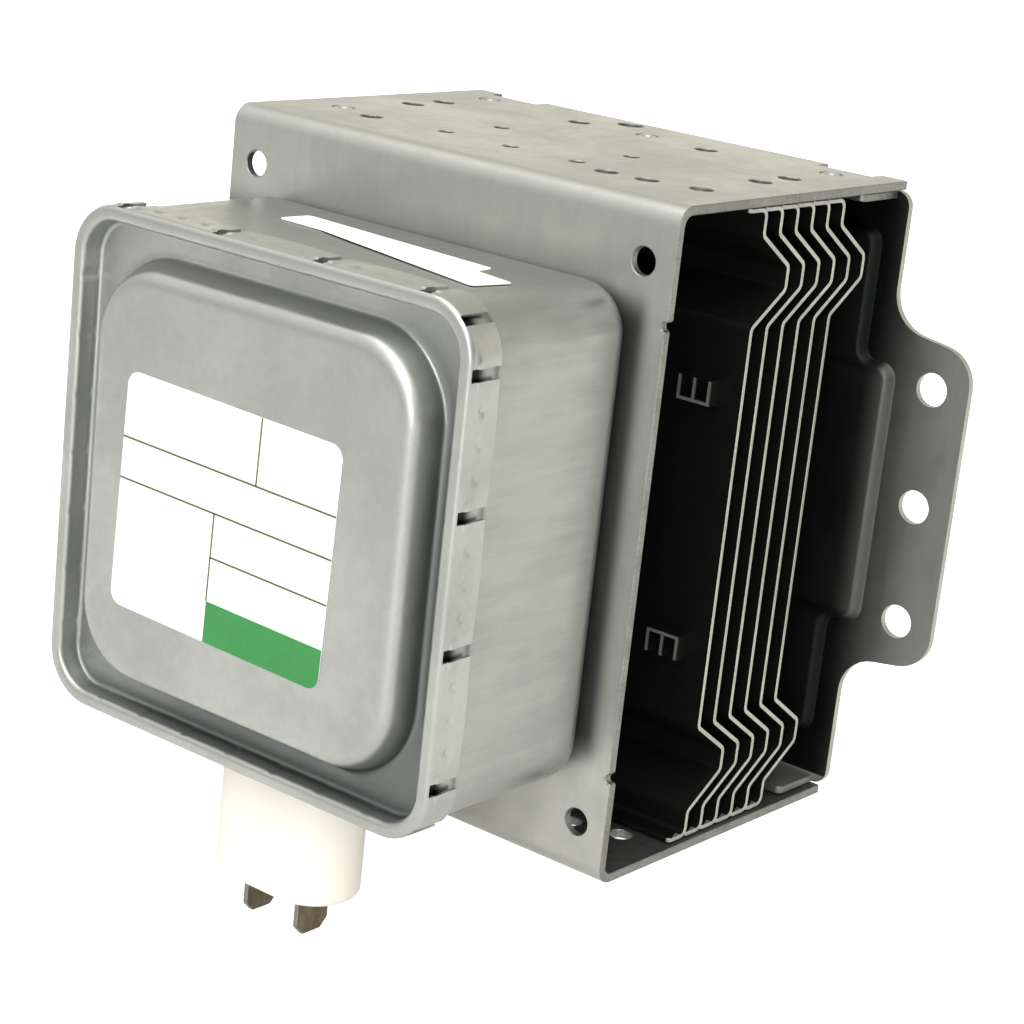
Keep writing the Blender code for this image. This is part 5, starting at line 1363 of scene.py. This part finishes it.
class MAGNETRON_OT_labels(bpy.types.Operator):
    """Add the plain labels on the cover and on the box"""
    bl_idname = "magnetron.add_labels"
    bl_label = "Labels"

    def execute(self, context):
        """Lay the paper, the rules and the green block as thin slabs, all turned by one angle."""
        sizes = context.scene.magnetron_box
        low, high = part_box("cover_label")
        face = high.y - AXIS.y + 0.00002
        centre = (low + high) / 2 - AXIS
        spin = np.array(Matrix.Rotation(radians(-1.5), 2))
        wide, tall = sizes.label_width, sizes.label_height
        half_w, half_h = wide / 2, tall / 2
        corner = sizes.label_corner
        sheet = rounded_loop([(-half_w, -half_h, corner), (half_w, -half_h, corner),
                              (half_w, half_h, corner), (-half_w, half_h, corner)])
        first, second = 0.637 * wide - half_w, 0.461 * wide - half_w
        upper, lower = half_h - 0.280 * tall, half_h - 0.455 * tall
        third, block = half_h - 0.640 * tall, half_h - 0.825 * tall
        rule = sizes.rule / 2
        bars = [((-half_w, upper - rule), (half_w, upper + rule)),
                ((-half_w, lower - rule), (half_w, lower + rule)),
                ((second, third - rule), (half_w, third + rule)),
                ((first - rule, upper), (first + rule, half_h)),
                ((second - rule, block), (second + rule, lower))]
        green = rounded_loop([(second, -half_h, 0.0), (half_w, -half_h, corner),
                              (half_w, block, 0.0), (second, block, 0.0)])
        ink = 0.00001
        sheets = [(sheet, sizes.label_sheet, 0.0, 0)]
        for (u0, v0), (u1, v1) in bars:
            loop = np.array([(u0, v0), (u1, v0), (u1, v1), (u0, v1)])
            sheets.append((loop, ink, sizes.label_sheet + 0.000005, 1))
        sheets.append((green, ink, sizes.label_sheet + 0.000004, 2))
        parts = []
        for loop, thickness, lift, mark in sheets:
            flat, faces, _ = slab(loop, [], thickness, thickness * 0.2)
            spot = flat[:, :2] @ spin.T
            depth = face - lift - thickness / 2 - flat[:, 2]
            placed = np.column_stack([spot[:, 0] + centre.x, depth, spot[:, 1] + centre.z])
            parts.append(mesh_of("label", placed, faces, [mark] * len(faces)))
        piece("cover_label_print", joined(parts), ("paper_label", "rule_ink", "green_ink"),
              "cover_label")
        self.box_strips(sizes)
        return {"FINISHED"}

    def box_strips(self, sizes):
        """Two plain strips on the box, one lapped over the other."""
        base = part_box("box_label")[0].z - AXIS.z
        strips = (((-0.0165, -0.0140), (0.0194, -0.0155), (0.0190, -0.0107), (-0.0160, -0.0083), 0.0),
                  ((-0.0086, -0.0145), (0.0252, -0.0223), (0.0267, -0.0158), (-0.0070, -0.0098), 1.0))
        parts = []
        for *corners, level in strips:
            loop = rounded_loop([(x, y, sizes.strip_corner) for x, y in corners], 6)
            flat, faces, _ = slab(loop, [], sizes.label_sheet, 0.00002)
            lift = base + sizes.label_sheet * (0.9 * level - 0.4)
            placed = np.column_stack([flat[:, :2], flat[:, 2] + lift])
            parts.append(mesh_of("strip", placed, faces))
        piece("box_label_strips", joined(parts), ("paper_label",), "box_label")


class MAGNETRON_OT_terminals(bpy.types.Operator):
    """Add the moulded connector and its two terminal blades"""
    bl_idname = "magnetron.add_terminals"
    bl_label = "Connector and blades"

    def execute(self, context):
        """Stack the connector's outline in rings up its height and sink a slot round each blade.

        The lower edge's rings are drawn in by one less the sine of a quarter turn, and rise by one
        less its cosine, times the edge's radius.
        """
        sizes = context.scene.magnetron_tube
        centre_y = (HOUSING_LOW.y + HOUSING_HIGH.y) / 2 - AXIS.y
        long, wide = HOUSING_HIGH.x - HOUSING_LOW.x, HOUSING_HIGH.y - HOUSING_LOW.y
        bottom, top = HOUSING_LOW.z - AXIS.z, HOUSING_HIGH.z - AXIS.z
        turn = np.linspace(0.0, pi / 2, 9)
        insets = sizes.housing_round * (1 - np.sin(turn))
        heights = bottom + sizes.housing_round * (1 - np.cos(turn))
        insets = np.concatenate([insets, [0.0, 0.0001, 0.0003]])
        heights = np.concatenate([heights, [top - 0.0003, top - 0.0001, top]])
        loops = [obround(long - 2 * inset, wide - 2 * inset) for inset in insets]
        count = len(loops[0])
        rings = [np.column_stack([loop[:, 0], loop[:, 1] + centre_y, np.full(count, height)])
                 for loop, height in zip(loops, heights)]
        slots = [self.slot(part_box(f"terminal_blade_{side}"), centre_y)
                 for side in ("left", "right")]
        cap = [loops[0]] + [turned_way(slot, False) for slot in slots]
        flat = np.concatenate(cap)
        vertices = rings + [np.column_stack([flat[:, 0], flat[:, 1] + centre_y,
                                             np.full(len(flat), bottom)])]
        faces = grid_faces(len(rings), count)
        first = count * len(rings)
        faces += [tuple(first + corner for corner in face) for face in filled(cap)]
        start = first + len(flat)
        for slot in slots:
            for height in (bottom, bottom + 0.0060):
                level = np.full(len(slot), height)
                vertices.append(np.column_stack([slot[:, 0], slot[:, 1] + centre_y, level]))
            faces += grid_faces(2, len(slot), True, start)
            faces.append(tuple(range(start + len(slot), start + 2 * len(slot))))
            start += 2 * len(slot)
        faces.append(tuple(range(first - count, first)))
        mesh = mesh_of("housing", np.concatenate(vertices), faces)
        piece("connector_moulding", mesh, ("white_moulding",), "connector_housing")
        for side in ("left", "right"):
            self.blade(sizes, side)
        return {"FINISHED"}

    def slot(self, corners, centre_y):
        """Outline of the slot round a blade, in the housing's own plane."""
        low, high = corners
        gap, corner = 0.0003, 0.0002
        u0, u1 = low.x - gap, high.x + gap
        v0, v1 = low.y - AXIS.y - centre_y - gap, high.y - AXIS.y - centre_y + gap
        return rounded_loop([(u0, v0, corner), (u1, v0, corner), (u1, v1, corner),
                             (u0, v1, corner)], 3)

    def blade(self, sizes, side):
        """A flat blade with chamfered tip corners and eased edges."""
        name = f"terminal_blade_{side}"
        low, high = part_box(name)
        y0, y1 = low.y - AXIS.y, high.y - AXIS.y
        tip, tail = low.z - AXIS.z, high.z - AXIS.z
        cut = sizes.blade_chamfer
        soft = 0.0005
        loop = rounded_loop([(y0, tail, soft), (y0, tip + cut, soft), (y0 + cut, tip, soft),
                             (y1 - cut, tip, soft), (y1, tip + cut, soft), (y1, tail, soft)], 5)
        flat, faces, marks = slab(loop, [], sizes.blade_sheet, 0.00012)
        middle = (low.x + high.x) / 2
        placed = np.column_stack([middle + flat[:, 2], flat[:, 0], flat[:, 1]])
        piece(f"{name}_sheet", mesh_of("blade", placed, faces, marks),
              ("tinned_brass", "cut_edge"), name)


class MAGNETRON_OT_turned(bpy.types.Operator):
    """Add the turned pieces: the magnets, output sleeve, ceramic, cap and gasket"""
    bl_idname = "magnetron.add_turned"
    bl_label = "Turned pieces"

    def execute(self, context):
        """Turn each piece's section round the tube's axis."""
        sizes = context.scene.magnetron_tube
        for name in ("front_magnet", "rear_magnet"):
            section = self.ring(name, sizes.magnet_bore / 2, sizes.magnet_edge, 4)
            piece(f"{name}_ring", lathe(section, 96), ("ferrite",), name)
        self.output(sizes)
        return {"FINISHED"}

    def extent(self, name):
        """A solid's outer radius and its two ends along the tube."""
        low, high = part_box(name)
        return high.x, low.y - AXIS.y, high.y - AXIS.y

    def ring(self, name, bore, edge, steps):
        """Section of a plain ring round a bore, with its four corners rounded."""
        radius, start, end = self.extent(name)
        return softened([(bore, start), (radius, start), (radius, end), (bore, end)], edge, steps)

    def output(self, sizes):
        """The output's sleeve, ceramic, cap and knitted gasket, from the plate to the tip."""
        flange, start, end = self.extent("output_sleeve")
        tube, shoulder, wall = 0.0195 / 2, 0.0070, sizes.sleeve_sheet
        neck = sizes.ceramic_bore / 2
        turn_in = sizes.cap_round
        profile = [(tube - wall, start), (flange, start), (flange, start + wall),
                   (tube, start + wall), (tube, end - turn_in), (shoulder, end), (neck, end),
                   (neck, end - wall), (shoulder - wall, end - wall),
                   (tube - wall, end - turn_in - wall)]
        piece("output_sleeve_turned", lathe(softened(profile, 0.0002, 3)),
              ("zinc_plated_steel",), "output_sleeve")
        piece("output_ceramic_ring", lathe(self.ring("output_ceramic", neck, 0.0006, 4)),
              ("alumina",), "output_ceramic")
        cap, start, end = self.extent("antenna_cap")
        wall, bend = sizes.cap_sheet, sizes.cap_round
        outer = corner_arc(np.array([cap, start]), np.array([cap, end]), np.array([0.0, end]),
                           bend, 10)[0]
        inner = corner_arc(np.array([cap - wall, start]), np.array([cap - wall, end - wall]),
                           np.array([0.0, end - wall]), bend - wall, 10)[0]
        bead, tip = 0.0012, 0.0003
        seam = [(cap, start), (cap, start + bead), (cap, start + 2 * bead)]
        profile = np.concatenate([seam, outer, [(tip, end), (tip, end - wall)], inner[::-1],
                                  [(cap - wall, start)]])
        piece("antenna_cap_drawn", self.closed(lathe(profile)), ("drawn_steel",), "antenna_cap")
        start, end = self.extent("rf_gasket")[1:]
        section = self.ring("rf_gasket", tube + 0.0003, (end - start) * 0.28, 6)
        piece("rf_gasket_knit", self.knitted(lathe(section, 144)), ("wire_mesh",), "rf_gasket",
              60.0)

    def closed(self, mesh):
        """Close the cap's small end ring into its axis."""
        points = mesh_points(mesh)
        near_axis = np.hypot(points[:, 0], points[:, 2]) < 0.0004
        points[near_axis, 0] = 0.0
        points[near_axis, 2] = 0.0
        mesh.vertices.foreach_set("co", points.ravel())
        return mesh

    def knitted(self, mesh):
        """Raise small loops on the gasket: a product of two waves round and along it."""
        loops, row, height = 48, 0.0009, 0.00016
        points = mesh_points(mesh)
        radius = np.hypot(points[:, 0], points[:, 2])
        turn = np.arctan2(points[:, 2], points[:, 0])
        wave = np.sin(turn * loops) * np.cos((points[:, 1] + radius) / row * pi)
        scale = 1 - height * (1 + wave) / np.maximum(radius, 1e-6)
        points[:, 0] *= scale
        points[:, 2] *= scale
        mesh.vertices.foreach_set("co", points.ravel())
        return mesh


class MAGNETRON_OT_inner(bpy.types.Operator):
    """Give the inner solids their finishes: the tube's inside, the leads, the chokes"""
    bl_idname = "magnetron.finish_inner"
    bl_label = "Inner pieces"

    def execute(self, context):
        """Put each finish on the solids that are made of it; their meshes stay."""
        finishes = {
            "copper": ("anode", "antenna_lead", "exhaust_tube", "choke_coil_left",
                       "choke_coil_right", "strap_ring_front_inner", "strap_ring_front_outer",
                       "strap_ring_rear_inner", "strap_ring_rear_outer"),
            "zinc_plated_steel": ("cathode_sleeve", "front_pole_piece", "rear_pole_piece",
                                  "connector_flange"),
            "tungsten": ("filament", "front_end_hat", "rear_end_hat", "cathode_centre_lead",
                         "cathode_side_lead"),
            "alumina": ("stem_ceramic",),
            "white_moulding": ("capacitor_body",),
            "ferrite": ("choke_core_left", "choke_core_right"),
        }
        for label, names in finishes.items():
            for name in names:
                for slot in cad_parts[name].material_slots:
                    slot.material = coated(label)
        return {"FINISHED"}


class MAGNETRON_OT_stage(bpy.types.Operator):
    """Add the pale floor, the soft light and the camera"""
    bl_idname = "magnetron.add_stage"
    bl_label = "Floor, light and camera"

    def execute(self, context):
        """Build the stage from its sizes and show its tones as they are."""
        sizes = context.scene.magnetron_stage
        self.floor(sizes)
        self.surroundings(sizes)
        self.lamps()
        self.camera(sizes)
        context.scene.view_settings.view_transform = "Standard"
        return {"FINISHED"}

    def floor(self, sizes):
        """A wide disc that the blades' tips and the yoke's rear lower edge stand on.

        Its height is the tips' plus the slope between the two times the way back. Its rings widen
        by the square of their share. The camera sees it plain white; its glow lights the part.
        """
        tip_y = (HOUSING_LOW.y + HOUSING_HIGH.y) / 2
        tip_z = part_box("terminal_blade_left")[0].z
        slope = (YOKE_LOW.z - tip_z) / (YOKE_HIGH.y - tip_y)
        radius = np.linspace(0.0, 1.0, 24)[1:] ** 2 * sizes.floor_reach
        steps = 96
        turn = 2 * pi * np.arange(steps) / steps
        x = radius[:, None] * np.cos(turn)
        y = radius[:, None] * np.sin(turn)
        z = tip_z + slope * (y - tip_y) - 0.0002
        rings = np.stack([x, y, z], axis=2)
        faces = grid_faces(len(rings), steps) + [tuple(range(steps))]
        mesh = mesh_of("floor", rings.reshape(-1, 3), faces)
        body = bmesh.new()
        body.from_mesh(mesh)
        bmesh.ops.recalc_face_normals(body, faces=body.faces)
        if sum(face.normal.z for face in body.faces) < 0:
            bmesh.ops.reverse_faces(body, faces=body.faces)
        body.to_mesh(mesh)
        body.free()
        material = bpy.data.materials.new("floor_paper")
        material.use_nodes = True
        tree = material.node_tree
        shader = tree.nodes["Principled BSDF"]
        shader.inputs["Base Color"].default_value = (*sizes.floor_colour, 1.0)
        shader.inputs["Roughness"].default_value = 0.9
        shader.inputs["Specular IOR Level"].default_value = 0.1
        warmth = ramp(tree, axes_apart(tree, object_place(tree))["Y"], -0.15, 0.10)
        tint = mixed(tree, warmth, COOL_WHITE, (*sizes.sky_colour, 1.0))
        seen = node(tree, "ShaderNodeLightPath").outputs["Is Camera Ray"]
        glow = ramp(tree, seen, 0.0, 1.0, sizes.floor_glow, 1.0)
        tree.links.new(mixed(tree, seen, tint, PLAIN_WHITE), shader.inputs["Emission Color"])
        tree.links.new(glow, shader.inputs["Emission Strength"])
        mesh.materials.append(material)
        ground = bpy.data.objects.new("floor", mesh)
        bpy.context.collection.objects.link(ground)

    def surroundings(self, sizes):
        """Soft room light: bright low behind the part, dimmer overhead, dark low on the right.

        Its level runs with height, from one curve in front to another behind, and is multiplied by
        a dark lobe on the right and a bright one overhead.
        """
        world = bpy.data.worlds.new("studio")
        bpy.context.scene.world = world
        world.use_nodes = True
        tree = world.node_tree
        tree.nodes.clear()
        out = node(tree, "ShaderNodeOutputWorld")
        way = node(tree, "ShaderNodeTexCoord").outputs["Generated"]
        apart = axes_apart(tree, way)
        back = ramp(tree, apart["Z"], 0.30, 0.66, 1.12, 0.62)
        front = ramp(tree, apart["Z"], 0.16, 0.62, 0.78, 1.20)
        behind = ramp(tree, apart["Y"], -0.25, 0.40)
        level = ramp(tree, behind, 0.0, 1.0, front, back)
        gloom = self.lobe(tree, way, (0.93, 0.25, -0.05), 0.75, 0.97)
        zenith = self.lobe(tree, way, (-0.10, 0.0, 1.0), 0.80, 0.96)
        for mask, start, end in ((gloom, 1.0, 0.25), (zenith, 1.0, 3.0)):
            level = figured(tree, "MULTIPLY", level, ramp(tree, mask, 0.0, 1.0, start, end))
        light = node(tree, "ShaderNodeBackground")
        tree.links.new(mixed(tree, behind, COOL_WHITE, (*sizes.sky_colour, 1.0)),
                       light.inputs["Color"])
        tree.links.new(level, light.inputs["Strength"])
        seen = node(tree, "ShaderNodeBackground", {"Color": PLAIN_WHITE, "Strength": 1.2})
        choose = node(tree, "ShaderNodeMixShader")
        path = node(tree, "ShaderNodeLightPath")
        tree.links.new(path.outputs["Is Camera Ray"], choose.inputs[0])
        tree.links.new(light.outputs[0], choose.inputs[1])
        tree.links.new(seen.outputs[0], choose.inputs[2])
        tree.links.new(choose.outputs[0], out.inputs["Surface"])

    def lobe(self, tree, way, direction, low, high):
        """How near a direction is to another: their cosine, mapped from low and high."""
        aim = Vector(direction).normalized()
        dot = node(tree, "ShaderNodeVectorMath", operation="DOT_PRODUCT")
        tree.links.new(way, dot.inputs[0])
        dot.inputs[1].default_value = aim
        return ramp(tree, dot.outputs["Value"], low, high)

    def lamps(self):
        """Two soft lamps: high in front on the right, and a weak one straight in front."""
        centre = (CAD_BOX[0] + CAD_BOX[1]) / 2
        lamps = (("key_lamp", (0.36, -0.56, 0.65), 0.70, 4.2),
                 ("front_lamp", (0.55, -0.80, 0.10), 0.40, 2.0))
        for name, offset, width, power in lamps:
            data = bpy.data.lights.new(name, "AREA")
            data.shape, data.size, data.energy = "DISK", width, power
            lamp = bpy.data.objects.new(name, data)
            lamp.location = centre + Vector(offset)
            lamp.rotation_euler = (-Vector(offset)).to_track_quat("-Z", "Y").to_euler()
            bpy.context.collection.objects.link(lamp)

    def camera(self, sizes):
        """The camera from the front right and above, turned a little about its own view."""
        data = bpy.data.cameras.new("view")
        data.lens, data.sensor_width = sizes.lens, 36.0
        data.clip_start = 0.01
        data.dof.use_dof = False
        eye = AXIS + Vector((0.231789, -0.276387, 0.102074))
        aim = AXIS + Vector((0.000228, 0.023268, -0.008694))
        ahead = (aim - eye).normalized()
        right = ahead.cross(Vector((0.0, 0.0, 1.0))).normalized()
        up = right.cross(ahead)
        turned = right * cos(sizes.roll) + up * sin(sizes.roll)
        basis = Matrix((turned, (-ahead).cross(turned), -ahead)).transposed()
        camera = bpy.data.objects.new("view", data)
        camera.matrix_world = Matrix.Translation(eye) @ basis.to_4x4()
        bpy.context.collection.objects.link(camera)
        bpy.context.scene.camera = camera


class MAGNETRON_PT_panel(bpy.types.Panel):
    """Lists the pieces in the 3D view's sidebar"""
    bl_label = "Magnetron"
    bl_idname = "MAGNETRON_PT_panel"
    bl_space_type = "VIEW_3D"
    bl_region_type = "UI"
    bl_category = "Magnetron"

    def draw(self, context):
        """One button for each operator."""
        for operator in OPERATORS:
            self.layout.operator(operator.bl_idname)


OPERATORS = (MAGNETRON_OT_stage, MAGNETRON_OT_yoke, MAGNETRON_OT_plate, MAGNETRON_OT_fins,
             MAGNETRON_OT_box, MAGNETRON_OT_cover, MAGNETRON_OT_labels, MAGNETRON_OT_terminals,
             MAGNETRON_OT_turned, MAGNETRON_OT_inner)
GROUPS = {"magnetron_yoke": YokeSizes, "magnetron_box": BoxSizes, "magnetron_fins": FinSizes,
          "magnetron_tube": TubeSizes, "magnetron_finishes": Finishes,
          "magnetron_stage": StageSizes}


def register():
    """Register the sizes, the operators and the panel."""
    for label, group in GROUPS.items():
        bpy.utils.register_class(group)
        setattr(bpy.types.Scene, label, PointerProperty(type=group))
    for operator in OPERATORS + (MAGNETRON_PT_panel,):
        bpy.utils.register_class(operator)


def unregister():
    """Take the classes and the sizes away again."""
    for operator in OPERATORS + (MAGNETRON_PT_panel,):
        bpy.utils.unregister_class(operator)
    for label, group in GROUPS.items():
        delattr(bpy.types.Scene, label)
        bpy.utils.unregister_class(group)


def main():
    """Build the stage and every piece."""
    register()
    for operator in OPERATORS:
        family, action = operator.bl_idname.split(".")
        getattr(getattr(bpy.ops, family), action)()


if __name__ == "__main__":
    main()
